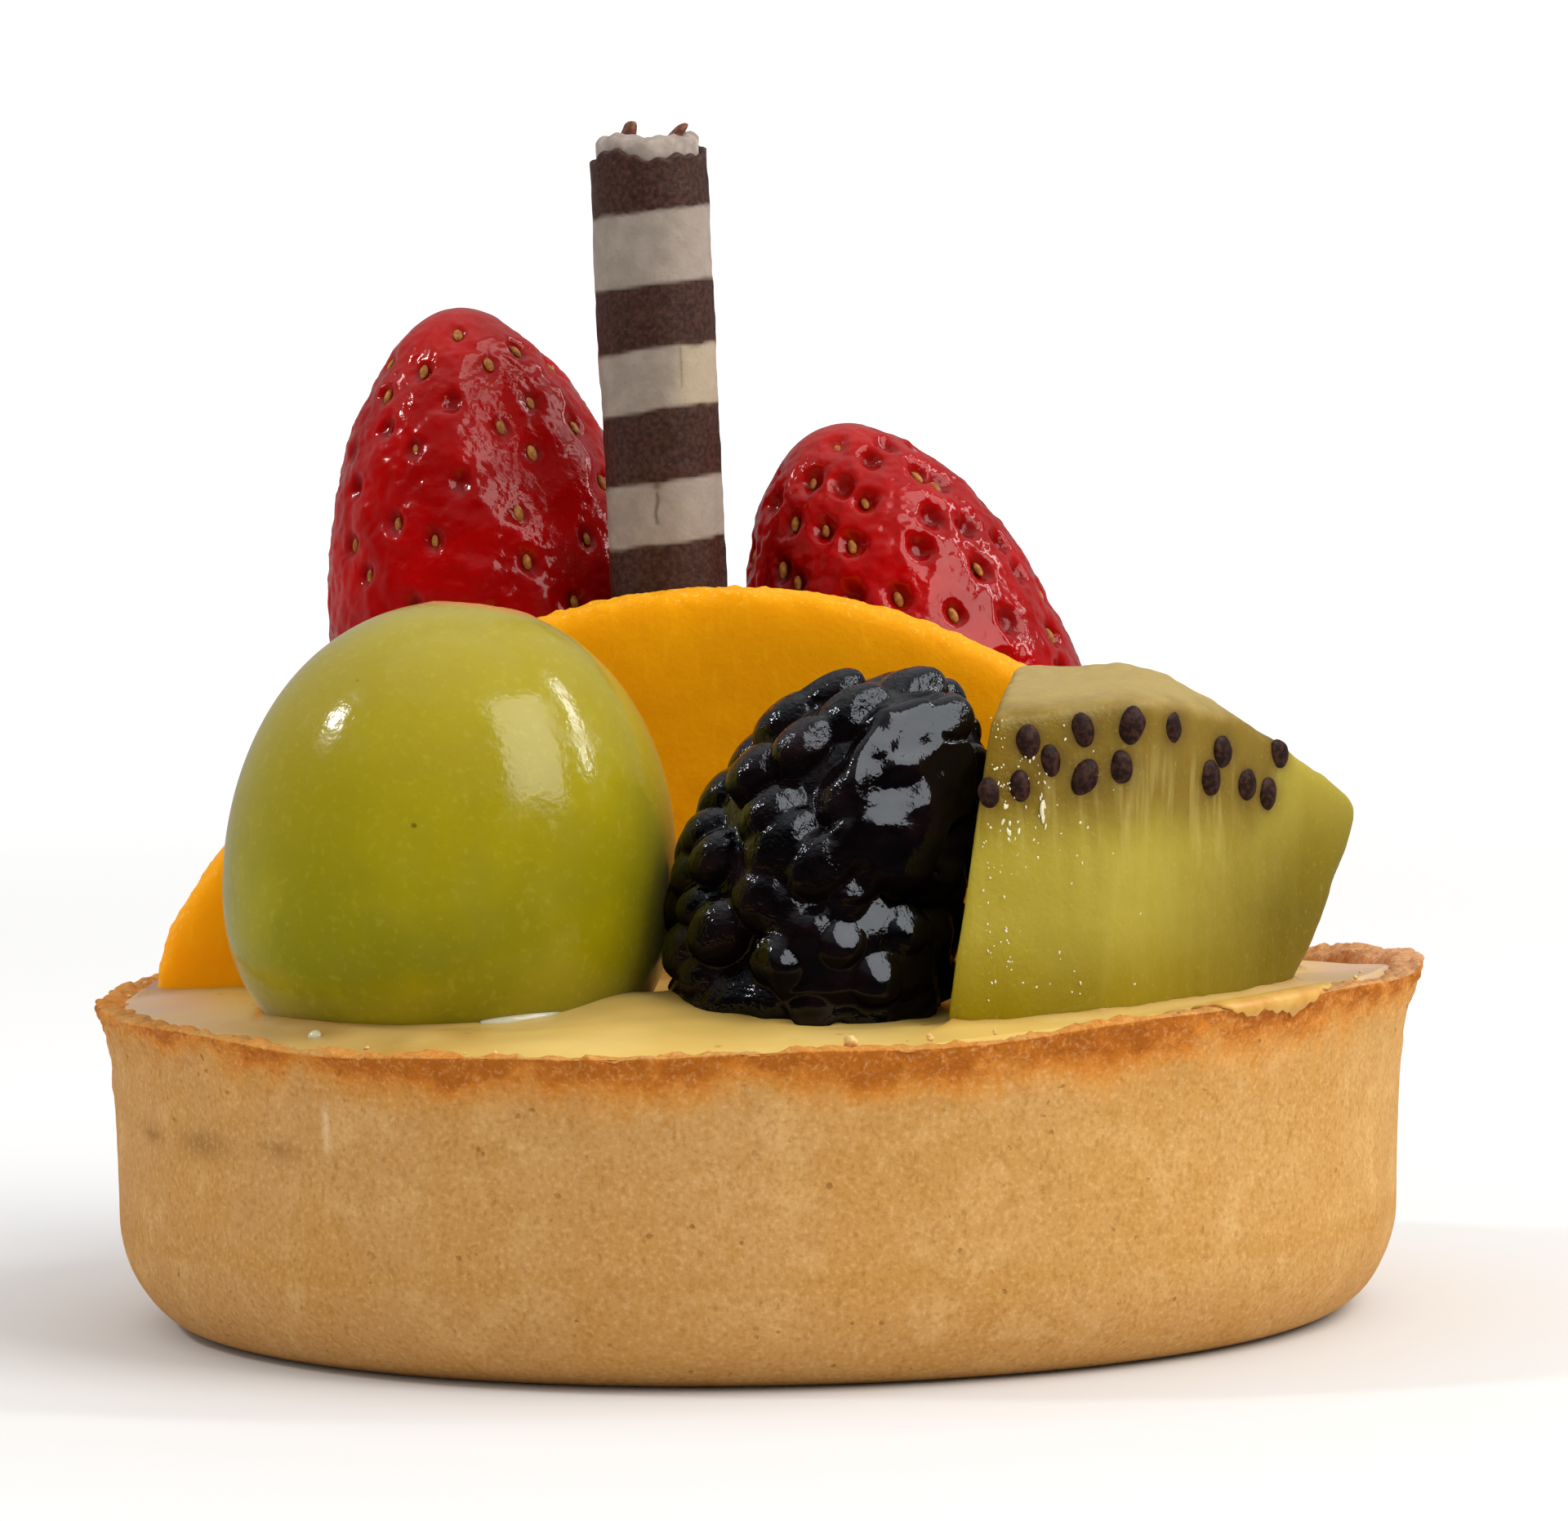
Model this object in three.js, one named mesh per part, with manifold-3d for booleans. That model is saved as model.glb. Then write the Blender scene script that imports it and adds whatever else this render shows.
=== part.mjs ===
// A fruit tartlet: a round shortcrust case filled with pastry cream and dressed with a grape,
// a bramble fruit, a wedge of kiwi, an arched slice of peach, two strawberries and a striped
// rolled chocolate straw. Millimetres, +Z up. The origin is the middle of the crust's base,
// and the grape, bramble and kiwi stand on the -Y side, which is the front.
import * as THREE from 'three';
import Module from 'manifold-3d';

const wasm = await Module();
wasm.setup();

const { sin, cos, abs, sqrt, exp, min, max, sign, PI } = Math;
const degrees = PI / 180;

// ---- driving dimensions ----
const gap = 0.3;                    // clearance kept between touching pieces
const crustBaseRadius = 33.3;       // flat ring the case stands on
const crustWallRadius = 38.15;      // wall just above the rounded foot
const crustFootHeight = 6.5;        // height of the rounded foot
const crustLipRadius = 39.8;        // outermost point of the lip
const crustHeight = 19.3;           // mean height of the lip
const crustFloor = 3;               // thickness of the base
const crustInnerRadius = 37.4;      // inner edge of the lip
const creamLevel = 19.65;           // pastry cream away from the lip
const creamEdgeDrop = 0.35;         // how far below the lip its edge stops
const creamMound = 5.2;             // extra heap that carries the strawberries
const strawRadius = 3.6;
const strawTop = 70.3;              // top of the pale inner roll

const colours = {
  crust: 0xd9b071, cream: 0xe9d38b, grape: 0x9a9c2a, bramble: 0x14101a, kiwi: 0xa3a63c,
  peach: 0xe8a21a, strawberry: 0xa8141c, straw: 0x4f3733,
};

// ---- helpers ----

// A closed body swept as rings round its axis: the first and the last ring shrink to a point.
function ringBody(rings, columns, pointAt) {
  const points = [pointAt(0, 0)];
  for (let ring = 1; ring < rings; ring++) {
    for (let column = 0; column < columns; column++) {
      points.push(pointAt(ring / rings, (2 * PI * column) / columns));
    }
  }
  points.push(pointAt(1, 0));
  const at = (ring, column) => 1 + (ring - 1) * columns + (column % columns);
  const last = points.length - 1;
  const faces = [];
  for (let column = 0; column < columns; column++) {
    faces.push(0, at(1, column + 1), at(1, column));
    for (let ring = 1; ring < rings - 1; ring++) {
      const [lowLeft, lowRight] = [at(ring, column), at(ring, column + 1)];
      const [highLeft, highRight] = [at(ring + 1, column), at(ring + 1, column + 1)];
      faces.push(lowLeft, lowRight, highRight, lowLeft, highRight, highLeft);
    }
    faces.push(at(rings - 1, column), at(rings - 1, column + 1), last);
  }
  const geometry = new THREE.BufferGeometry();
  geometry.setAttribute('position', new THREE.Float32BufferAttribute(points.flat(), 3));
  geometry.setIndex(faces);
  return geometry;
}

// An ellipsoid about the origin, moved by a matrix.
function ellipsoidBody([radiusX, radiusY, radiusZ], rings, columns, move) {
  return ringBody(rings, columns, (step, angle) => {
    const slope = PI * (step - 0.5);
    const ring = step === 0 || step === 1 ? 0 : cos(slope);
    const point = new THREE.Vector3(ring * cos(angle), ring * sin(angle), sin(slope));
    return point.multiply(new THREE.Vector3(radiusX, radiusY, radiusZ)).applyMatrix4(move).toArray();
  });
}

function solidOf(geometry) {
  const vertProperties = new Float32Array(geometry.attributes.position.array);
  const triVerts = new Uint32Array(geometry.index.array);
  return new wasm.Manifold(new wasm.Mesh({ numProp: 3, vertProperties, triVerts }));
}

function geometryOf(solid) {
  const mesh = solid.getMesh();
  const geometry = new THREE.BufferGeometry();
  geometry.setAttribute('position', new THREE.Float32BufferAttribute(mesh.vertProperties, 3));
  geometry.setIndex(Array.from(mesh.triVerts));
  return geometry;
}

// Keeps the side of a plane away from its normal. The cutter is a large closed slab.
function cutBeyond(solid, point, normal) {
  const reach = 200;
  const turn = new THREE.Quaternion().setFromUnitVectors(new THREE.Vector3(0, 0, 1), normal);
  const slab = ringBody(3, 4, (step, angle) => {
    const height = step < 0.5 ? 0 : reach;
    const width = step === 0 || step === 1 ? 0 : reach;
    const corner = new THREE.Vector3(width * cos(angle), width * sin(angle), height);
    return corner.applyQuaternion(turn).add(point).toArray();
  });
  return solid.subtract(solidOf(slab));
}

// Evenly scattered directions or places: index to [height from -1 to 1, angle].
function sunflower(index, count) {
  const goldenAngle = PI * (3 - sqrt(5));
  return [1 - (2 * index + 1) / count, index * goldenAngle];
}

function mesh(name, geometry, colour, roughness) {
  geometry.computeVertexNormals();
  const material = new THREE.MeshStandardMaterial({ color: colour, roughness, metalness: 0 });
  const piece = new THREE.Mesh(geometry, material);
  piece.name = name;
  return piece;
}

// ---- crust ----

// Height of the lip round the case: higher on the right, lower at the back.
function lipHeight(angle) {
  const swell = 0.55 * cos(angle) - 0.45 * sin(angle) + 0.7 * cos(2 * angle) - 0.3 * sin(2 * angle);
  return crustHeight + swell;
}

function crustGeometry() {
  const crags = (angle) => 0.13 * sin(7 * angle + 1.1) + 0.1 * sin(13 * angle + 2.3);
  const flare = (angle) => 0.3 * cos(angle);
  // Section from the middle of the base, out, up the wall, over the lip and back inside:
  // [radius, height, share of the lip's unevenness].
  const section = [[0, 0, 0], [crustBaseRadius, 0, 0]];
  const footSteps = 5;
  for (let step = 1; step <= footSteps; step++) {
    const turn = (90 * degrees * step) / footSteps;
    const radius = crustBaseRadius + (crustWallRadius - crustBaseRadius) * sin(turn);
    section.push([radius, crustFootHeight * (1 - cos(turn)), 0]);
  }
  const wallDepths = [[38.3, 7, 0.4], [38.6, 3.7, 0.7], [38.95, 2.1, 0.9], [39.4, 1, 1]];
  for (const [radius, depth, share] of wallDepths) section.push([radius, crustHeight - depth, share]);
  section.push([crustLipRadius, crustHeight - 0.1, 1]);
  section.push([38.9, crustHeight + 0.1, 1]);
  section.push([crustInnerRadius, crustHeight - 0.35, 1]);
  section.push([36.9, crustHeight - 1.6, 0.8], [35.9, 10, 0], [35, 6, 0], [32, crustFloor, 0]);
  section.push([0, crustFloor, 0]);
  return ringBody(section.length - 1, 64, (step, angle) => {
    const [radius, height, share] = section[Math.round(step * (section.length - 1))];
    const spread = radius + flare(angle) * share ** 3;
    const lift = share * (lipHeight(angle) - crustHeight + crags(angle));
    return [spread * cos(angle), spread * sin(angle), height + lift];
  });
}

// ---- pastry cream ----

// Top of the cream: level in the middle, turning up or down to the lip, with a heap behind.
function creamTop(x, y) {
  const share = (sqrt(x * x + y * y) / crustInnerRadius) ** 10;
  const edge = lipHeight(Math.atan2(y, x)) - creamEdgeDrop;
  const heap = creamMound * exp(-(((x / 21) ** 2 + ((y - 16) / 13.5) ** 2) ** 2));
  return creamLevel + (edge - creamLevel) * share + heap;
}

function creamGeometry() {
  const underside = [[0, crustFloor + gap], [31.7, crustFloor + gap], [34.7, 6.3], [35.6, 10]];
  const topRadii = [36.45, 35.2, 33.5, 31, 27, 22.5, 18, 13, 8, 0];
  const rings = underside.length + topRadii.length - 1;
  return ringBody(rings, 48, (step, angle) => {
    const ring = Math.round(step * rings);
    const low = ring < underside.length;
    const radius = low ? underside[ring][0] : topRadii[ring - underside.length];
    const [x, y] = [radius * cos(angle), radius * sin(angle)];
    return [x, y, low ? underside[ring][1] : creamTop(x, y)];
  });
}

// ---- grape ----
const grape = { centre: [-17.3, -16.6, 27], width: 13.05, up: 16, down: 11.5, lean: 3.5 * degrees };

function grapeGeometry(grow, rings, columns) {
  const turn = new THREE.Matrix4().makeRotationY(grape.lean);
  turn.setPosition(...grape.centre);
  return ringBody(rings, columns, (step, angle) => {
    const slope = PI * (step - 0.5);
    const upper = slope > 0;
    const power = upper ? 2.1 : 2.4;
    const height = (upper ? grape.up : grape.down) * sin(slope);
    const width = (1 - abs(sin(slope)) ** power) ** (1 / power);
    const reach = step === 0 || step === 1 ? 0 : width * (grape.width + grow);
    const point = new THREE.Vector3(reach * cos(angle), reach * sin(angle), height + sign(slope) * grow);
    return point.applyMatrix4(turn).toArray();
  });
}

// ---- bramble ----
const bramble = { centre: [3.9, -22, 27], width: 8.6, up: 12.3, down: 9.4, drupelets: 100, bead: 1.8 };

// Distance from the centre to the blunt barrel along a unit direction.
function barrelReach([x, y, z], shrink) {
  const power = z > 0 ? 2.4 : 3.6;
  const side = sqrt(x * x + y * y) / (bramble.width - shrink);
  const rise = abs(z) / ((z > 0 ? bramble.up : bramble.down) - shrink);
  return (side ** power + rise ** power) ** (-1 / power);
}

function drupelets() {
  const beads = [];
  for (let index = 0; index < bramble.drupelets; index++) {
    const [height, angle] = sunflower(index, bramble.drupelets);
    const ring = sqrt(1 - height * height);
    const direction = [ring * cos(angle), ring * sin(angle), height];
    const size = bramble.bead * (1 + 0.12 * sin(index * 2.4));
    beads.push({ direction, size, depth: barrelReach(direction, 0) - size });
  }
  return beads;
}

function brambleGeometry(grow, rings, columns) {
  const beads = grow > 0 ? [] : drupelets();
  const [centreX, centreY, centreZ] = bramble.centre;
  return ringBody(rings, columns, (step, angle) => {
    const slope = PI * (step - 0.5);
    const direction = [cos(slope) * cos(angle), cos(slope) * sin(angle), sin(slope)];
    let reach = grow > 0 ? barrelReach(direction, 0) + grow : barrelReach(direction, 1.2);
    for (const bead of beads) {
      const facing = direction.reduce((sum, part, axis) => sum + part * bead.direction[axis], 0);
      const miss = bead.size ** 2 - bead.depth ** 2 * (1 - facing * facing);
      if (facing > 0 && miss > 0) reach = max(reach, bead.depth * facing + sqrt(miss));
    }
    const [x, y, z] = direction.map((part) => part * reach);
    const lean = 0.22 * z + 0.012 * z * z;
    return [centreX + x + lean, centreY + y, centreZ + z];
  });
}

// ---- kiwi wedge ----
// A hand-cut chunk: its corners give the flats, and an ellipsoid gives the peeled outside.
const kiwiCorners = {
  creaseTop: [22.2, -27.5, 37.4], creaseFoot: [19.4, -29.8, 20], leftFoot: [11.2, -32.7, 19.6],
  leftTop: [13.5, -32, 37.2], ridge: [22.7, -18, 39.2], ridgeLeft: [14.5, -18, 39.1],
  shoulder: [27.9, -20.4, 36], tip: [35.7, -10.4, 30.1], innerFoot: [12, -21, 20],
  footRight: [31.9, -14.5, 20.9], outerFoot: [30, -5.4, 20.9],
  backTop: [22, -5, 34.4], backLeft: [13, -4.3, 20], backRight: [30, -4.3, 20], backHigh: [22, -4.5, 33],
};
const kiwiFlats = [
  ['creaseTop', 'creaseFoot', 'leftFoot'], ['creaseTop', 'creaseFoot', 'tip'],
  ['creaseTop', 'ridge', 'ridgeLeft'], ['creaseTop', 'ridge', 'shoulder'],
  ['ridge', 'shoulder', 'tip'], ['leftTop', 'ridgeLeft', 'innerFoot'],
  ['ridge', 'ridgeLeft', 'backTop'], ['backLeft', 'backRight', 'backHigh'],
  ['tip', 'footRight', 'outerFoot'],
];
const kiwiHeart = new THREE.Vector3(21, -17, 28);
const kiwiSkin = { centre: [17, -14, 29], radii: [19, 30, 13.5] };
const kiwiBottom = 17.4;

function kiwiPlane(names) {
  const [first, second, third] = names.map((name) => new THREE.Vector3(...kiwiCorners[name]));
  const plane = new THREE.Plane().setFromCoplanarPoints(first, second, third);
  if (plane.distanceToPoint(kiwiHeart) > 0) plane.negate();
  return { point: first, normal: plane.normal };
}

function kiwiSolid(grow) {
  const place = new THREE.Matrix4().makeTranslation(...kiwiSkin.centre);
  let body = solidOf(ellipsoidBody(kiwiSkin.radii.map((radius) => radius + grow), 16, 32, place));
  for (const names of kiwiFlats) {
    const { point, normal } = kiwiPlane(names);
    body = cutBeyond(body, point.clone().addScaledVector(normal, grow), normal);
  }
  const down = new THREE.Vector3(0, 0, -1);
  return cutBeyond(body, new THREE.Vector3(0, 0, kiwiBottom - grow), down);
}

// Seeds as [millimetres right of the crease, millimetres below its top, tilt] on the two front flats.
const kiwiSeeds = [
  [-7.2, 2.3, 0.1], [-3.9, 1.8, 0.1], [-1, 1.6, -0.3], [-5.9, 3.4, 0.1], [-3.9, 4.4, -0.5], [-1.7, 3.9, 0],
  [-7.8, 4.8, 0.1], [2.6, 1.9, 0.1], [7.5, 3.5, 0.2], [6.4, 4.9, 0.1], [9.9, 5.5, 0.4], [12, 6.1, 0.1],
  [13.1, 3.9, 0.6],
];
const seedSize = [0.72, 0.4, 1.08];

function kiwiWedge() {
  let body = kiwiSolid(0);
  for (const [right, below, tilt] of kiwiSeeds) {
    const { point, normal } = kiwiPlane(kiwiFlats[right < 0 ? 0 : 1]);
    const sideways = new THREE.Vector3(0, 0, 1).cross(normal).normalize();
    const downward = normal.clone().cross(sideways).negate();
    const place = point.clone().addScaledVector(sideways, right).addScaledVector(downward, below);
    const upward = downward.negate();
    const move = new THREE.Matrix4().makeBasis(sideways, upward.clone().cross(sideways), upward);
    move.multiply(new THREE.Matrix4().makeRotationY(-tilt)).setPosition(place);
    body = body.add(solidOf(ellipsoidBody(seedSize, 4, 6, move)));
  }
  return body;
}

// ---- peach slice ----
// A crescent standing on its ends: an outer arc and a flatter inner arc about lower centres.
const peach = {
  middle: -2.1, outerCentre: 6.2, outerRadius: 36.85, innerRadius: 23, front: -3.5, back: 4.5,
};

function peachGeometry(grow, rings, columns) {
  const [startAngle, endAngle] = [19 * degrees, 163.5 * degrees];
  const [halfThick, middleY] = [(peach.back - peach.front) / 2, (peach.back + peach.front) / 2];
  const boxy = (value) => sign(value) * abs(value) ** (2 / 9);
  return ringBody(rings, columns, (step, angle) => {
    const arc = startAngle + (endAngle - startAngle) * min(1, max(0, (step * rings - 1) / (rings - 2)));
    const overhang = max(0, abs(arc / degrees - 90) - 62);
    const outer = peach.outerRadius - 0.0173 * overhang * overhang;
    const inner = -peach.outerCentre * sin(arc)
      + sqrt(peach.innerRadius ** 2 - (peach.outerCentre * cos(arc)) ** 2);
    const size = step === 0 || step === 1 ? 0 : 1;
    const radial = (outer + inner) / 2 + size * boxy(cos(angle)) * ((outer - inner) / 2 + grow);
    const depth = middleY + size * boxy(sin(angle)) * (halfThick + grow);
    return [peach.middle + radial * cos(arc), depth, peach.outerCentre + radial * sin(arc)];
  });
}

// ---- strawberries ----
// Hulled fruit standing on the cut end: foot is the middle of that cut, and the tip leans left.
// belly is how far up the fruit is widest, and nose how blunt its tip is.
const strawberries = {
  left: {
    foot: [-13.4, 19.6, 24.6], length: 36, lean: -8 * degrees,
    width: 11.1, cut: 7.4, belly: 0.42, nose: 1.45,
  },
  right: {
    foot: [13.4, 16.1, 24.4], length: 29.4, lean: -17 * degrees,
    width: 10.9, cut: 8, belly: 0.36, nose: 1.5,
  },
};
const pits = { count: 92, depth: 0.45, width: 1.15 };

function strawberryRadius({ width, cut, belly, nose }, share) {
  if (share < belly) {
    const away = 1 - share / belly;
    return sqrt(width ** 2 - (width ** 2 - cut ** 2) * away ** 2);
  }
  const away = (share - belly) / (1 - belly);
  return width * sqrt(max(0, 1 - away ** nose));
}

function strawberryGeometry(berry, grow, rings, columns) {
  const turn = new THREE.Matrix4().makeRotationY(berry.lean);
  turn.setPosition(...berry.foot);
  const places = [];
  for (let index = 0; index < pits.count; index++) {
    const [level, angle] = sunflower(index, pits.count);
    const share = 0.5 + 0.47 * level;
    const radius = strawberryRadius(berry, share);
    places.push([radius * cos(angle), radius * sin(angle), berry.length * share]);
  }
  return ringBody(rings, columns, (step, angle) => {
    const ring = Math.round(step * rings);
    const share = ring < 2 ? 0 : sin((90 * degrees * (ring - 1)) / (rings - 1)) ** 1.15;
    const radius = ring === 0 || ring === rings ? 0 : strawberryRadius(berry, share) + grow;
    const lift = ring === rings ? grow : ring < 2 ? -grow : 0;
    const point = new THREE.Vector3(radius * cos(angle), radius * sin(angle), berry.length * share + lift);
    let sink = 0;
    if (grow === 0 && ring > 1 && ring < rings - 1) {
      for (const place of places) {
        const away = point.distanceTo(new THREE.Vector3(...place)) / pits.width;
        sink += pits.depth * exp(-away * away);
      }
    }
    point.x -= sink * cos(angle);
    point.y -= sink * sin(angle);
    return point.applyMatrix4(turn).toArray();
  });
}

// ---- chocolate straw ----
const straw = { foot: [-4.1, 8.4, 15], top: [-5.76, 8.4, 69] };

function strawGeometry(grow, columns) {
  const foot = new THREE.Vector3(...straw.foot);
  const axis = new THREE.Vector3(...straw.top).sub(foot);
  const length = axis.length();
  const chipped = (angle) => 0.45 * sin(2 * angle + 0.6) + 0.3 * sin(5 * angle);
  const innerEdge = length + strawTop - straw.top[2];
  // [radius, height along the straw, share of the chipped edge]
  const section = [
    [0, -grow, 0], [strawRadius + grow, -grow, 0], [strawRadius + grow, length / 2, 0],
    [strawRadius + grow, length - 0.6, 1], [3.15, length - 0.5, 1],
    [3, innerEdge - 0.3, 0.3], [2.5, innerEdge, 0.3], [1.8, innerEdge - 0.3, 0.3],
    [1.7, length - 5, 0], [0, length - 5, 0],
  ];
  const turn = new THREE.Quaternion().setFromUnitVectors(new THREE.Vector3(0, 0, 1), axis.normalize());
  return ringBody(section.length - 1, columns, (step, angle) => {
    const [radius, height, share] = section[Math.round(step * (section.length - 1))];
    const level = height + share * chipped(angle);
    const point = new THREE.Vector3(radius * cos(angle), radius * sin(angle), level);
    return point.applyQuaternion(turn).add(foot).toArray();
  });
}

// A little chocolate curl left standing on the roll's edge, rooted inside it.
function curlGeometry(x, y, sideways) {
  const [rootHeight, tipHeight] = [strawTop - 1.6, strawTop + 0.95];
  return ringBody(5, 7, (step, angle) => {
    const thick = step === 0 || step === 1 ? 0 : 0.5 - 0.25 * step;
    const lean = sideways * step * step;
    return [
      x + lean + thick * cos(angle), y + thick * sin(angle), rootHeight + (tipHeight - rootHeight) * step,
    ];
  });
}

function strawSolid() {
  const roll = solidOf(strawGeometry(0, 26));
  return roll.add(solidOf(curlGeometry(-7.4, 6.9, 0.6))).add(solidOf(curlGeometry(-4.4, 6.7, 0.7)));
}

// ---- assembly ----

// The soft bramble is pressed flat where the kiwi and the grape lie against it.
function brambleSolid() {
  const whole = solidOf(brambleGeometry(0, 32, 44));
  return whole.subtract(kiwiSolid(gap)).subtract(solidOf(grapeGeometry(gap, 14, 24)));
}

// The cream gives way round whatever stands in it, and loose scraps are dropped.
function creamSolid() {
  const pockets = [
    solidOf(grapeGeometry(gap, 12, 20)), solidOf(brambleGeometry(gap, 12, 18)), kiwiSolid(gap),
    solidOf(peachGeometry(gap, 22, 12)), solidOf(strawberryGeometry(strawberries.left, gap, 14, 16)),
    solidOf(strawberryGeometry(strawberries.right, gap, 14, 16)), solidOf(strawGeometry(gap, 14)),
  ];
  const cut = pockets.reduce((cream, pocket) => cream.subtract(pocket), solidOf(creamGeometry()));
  return cut.decompose().sort((one, other) => other.volume() - one.volume())[0];
}

const tart = new THREE.Group();
tart.add(
  mesh('crust', crustGeometry(), colours.crust, 0.85),
  mesh('custard', geometryOf(creamSolid()), colours.cream, 0.35),
  mesh('grape', grapeGeometry(0, 17, 28), colours.grape, 0.2),
  mesh('bramble', geometryOf(brambleSolid()), colours.bramble, 0.15),
  mesh('kiwi_wedge', geometryOf(kiwiWedge()), colours.kiwi, 0.35),
  mesh('peach_slice', peachGeometry(0, 27, 16), colours.peach, 0.45),
  mesh('strawberry_left', strawberryGeometry(strawberries.left, 0, 23, 36), colours.strawberry, 0.25),
  mesh('strawberry_right', strawberryGeometry(strawberries.right, 0, 23, 36), colours.strawberry, 0.25),
  mesh('chocolate_straw', geometryOf(strawSolid()), colours.straw, 0.5),
);

export default tart;
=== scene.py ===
# A glazed fruit tartlet: shortcrust case, custard, grape, bramble, kiwi, peach, two strawberries
# and a striped chocolate straw. Shapes are reckoned in millimetres and put into metres at the end.
import math

import bpy
import numpy as np
from mathutils import Matrix, Vector


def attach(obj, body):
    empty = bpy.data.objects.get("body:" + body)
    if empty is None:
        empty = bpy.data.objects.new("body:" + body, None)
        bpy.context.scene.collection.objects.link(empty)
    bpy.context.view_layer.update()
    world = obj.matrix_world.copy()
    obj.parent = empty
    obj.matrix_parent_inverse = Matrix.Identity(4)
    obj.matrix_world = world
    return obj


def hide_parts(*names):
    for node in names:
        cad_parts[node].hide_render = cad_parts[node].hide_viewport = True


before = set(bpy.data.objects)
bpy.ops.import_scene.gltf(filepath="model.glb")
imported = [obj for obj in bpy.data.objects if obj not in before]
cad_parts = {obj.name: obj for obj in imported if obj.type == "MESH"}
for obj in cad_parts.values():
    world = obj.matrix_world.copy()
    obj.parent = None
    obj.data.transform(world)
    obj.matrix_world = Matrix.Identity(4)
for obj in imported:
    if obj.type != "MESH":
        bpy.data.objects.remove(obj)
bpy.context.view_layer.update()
print("frame loaded:", sorted(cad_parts))

mm = 0.001
turnOf = 2 * math.pi
goldenAngle = math.pi * (3 - math.sqrt(5))


# ---- reckoning with sockets ----

class Wire:
    # An output socket that can be reckoned with: each operator adds one Math node.
    def __init__(self, paint, socket):
        self.paint = paint
        self.socket = socket

    def reckon(self, operation, first, second=0.0):
        return self.paint.node("ShaderNodeMath", {"operation": operation}, {0: first, 1: second})

    def __add__(self, other):
        return self.reckon("ADD", self, other)

    def __radd__(self, other):
        return self.reckon("ADD", other, self)

    def __sub__(self, other):
        return self.reckon("SUBTRACT", self, other)

    def __rsub__(self, other):
        return self.reckon("SUBTRACT", other, self)

    def __mul__(self, other):
        return self.reckon("MULTIPLY", self, other)

    def __rmul__(self, other):
        return self.reckon("MULTIPLY", other, self)

    def __truediv__(self, other):
        return self.reckon("DIVIDE", self, other)

    def __pow__(self, other):
        return self.reckon("POWER", self, other)


def shade(red, green, blue):
    # A display colour from 0 to 255 turned to the linear values that sockets take.
    part = np.array([red, green, blue]) / 255
    linear = np.where(part <= 0.04045, part / 12.92, ((part + 0.055) / 1.055) ** 2.4)
    return (*[float(value) for value in linear], 1.0)


class Paint:
    # A material with one Principled shader; fixed holds the values that are the same all over.
    def __init__(self, name, fixed):
        self.material = bpy.data.materials.new(name)
        self.material.use_nodes = True
        self.tree = self.material.node_tree
        self.tree.nodes.clear()
        output = self.tree.nodes.new("ShaderNodeOutputMaterial")
        self.shader = self.tree.nodes.new("ShaderNodeBsdfPrincipled")
        self.tree.links.new(self.shader.outputs[0], output.inputs[0])
        self.shader.subsurface_method = "RANDOM_WALK"
        for name, value in fixed.items():
            self.shader.inputs[name].default_value = value
        place = self.node("ShaderNodeTexCoord", {}, {}, "Object")
        self.place = self.node("ShaderNodeMapping", {}, {"Vector": place, "Scale": (1000, 1000, 1000)})

    def node(self, kind, settings, sockets, output=0):
        made = self.tree.nodes.new(kind)
        for name, value in settings.items():
            setattr(made, name, value)
        for name, value in sockets.items():
            if isinstance(value, Wire):
                self.tree.links.new(value.socket, made.inputs[name])
            else:
                made.inputs[name].default_value = value
        return Wire(self, made.outputs[output])

    def feed(self, name, wire):
        self.tree.links.new(wire.socket, self.shader.inputs[name])

    def paintedShade(self, mark, colour, most):
        # Painted shade: where the mark is 1 the finish gives way to a plain dark one that mirrors nothing.
        plain = self.node("ShaderNodeBsdfDiffuse", {}, {"Color": colour})
        both = self.node("ShaderNodeMixShader", {}, {0: self.attribute(mark) * most, 2: plain})
        self.tree.links.new(self.shader.outputs[0], both.socket.node.inputs[1])
        self.tree.links.new(both.socket, self.tree.nodes["Material Output"].inputs[0])

    def noise(self, size, detail=3.0, stretch=(1, 1, 1)):
        # Cloudy noise from 0 to 1 whose lumps are about size millimetres wide.
        scale = [part / size for part in stretch]
        place = self.node("ShaderNodeMapping", {}, {"Vector": self.place, "Scale": scale})
        sockets = {"Vector": place, "Scale": 1.0, "Detail": detail, "Roughness": 0.55}
        return self.node("ShaderNodeTexNoise", {}, sockets)

    def cells(self, size, feature="F1"):
        # Distance to the nearest of scattered points, size millimetres apart.
        sockets = {"Vector": self.place, "Scale": 1 / size}
        return self.node("ShaderNodeTexVoronoi", {"feature": feature}, sockets, "Distance")

    def attribute(self, name):
        return self.node("ShaderNodeAttribute", {"attribute_name": name}, {}, "Fac")

    def axis(self, name):
        return self.node("ShaderNodeSeparateXYZ", {}, {0: self.place}, name)

    def rise(self, value, low, high):
        # 0 below low and 1 above high, with a smooth step between; low may be the larger one.
        settings = {"interpolation_type": "SMOOTHSTEP"}
        return self.node("ShaderNodeMapRange", settings, {0: value, 1: low, 2: high, 3: 0.0, 4: 1.0})

    def mix(self, factor, first, second, blend="MIX"):
        settings = {"data_type": "RGBA", "blend_type": blend}
        return self.node("ShaderNodeMix", settings, {0: factor, 6: first, 7: second}, 2)

    def bump(self, height, distance, strength=1.0):
        # Distance is in millimetres, for a height from 0 to 1.
        sockets = {"Height": height, "Distance": distance * mm, "Strength": strength}
        self.feed("Normal", self.node("ShaderNodeBump", {}, sockets))


# ---- shapes from arrays ----

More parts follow.
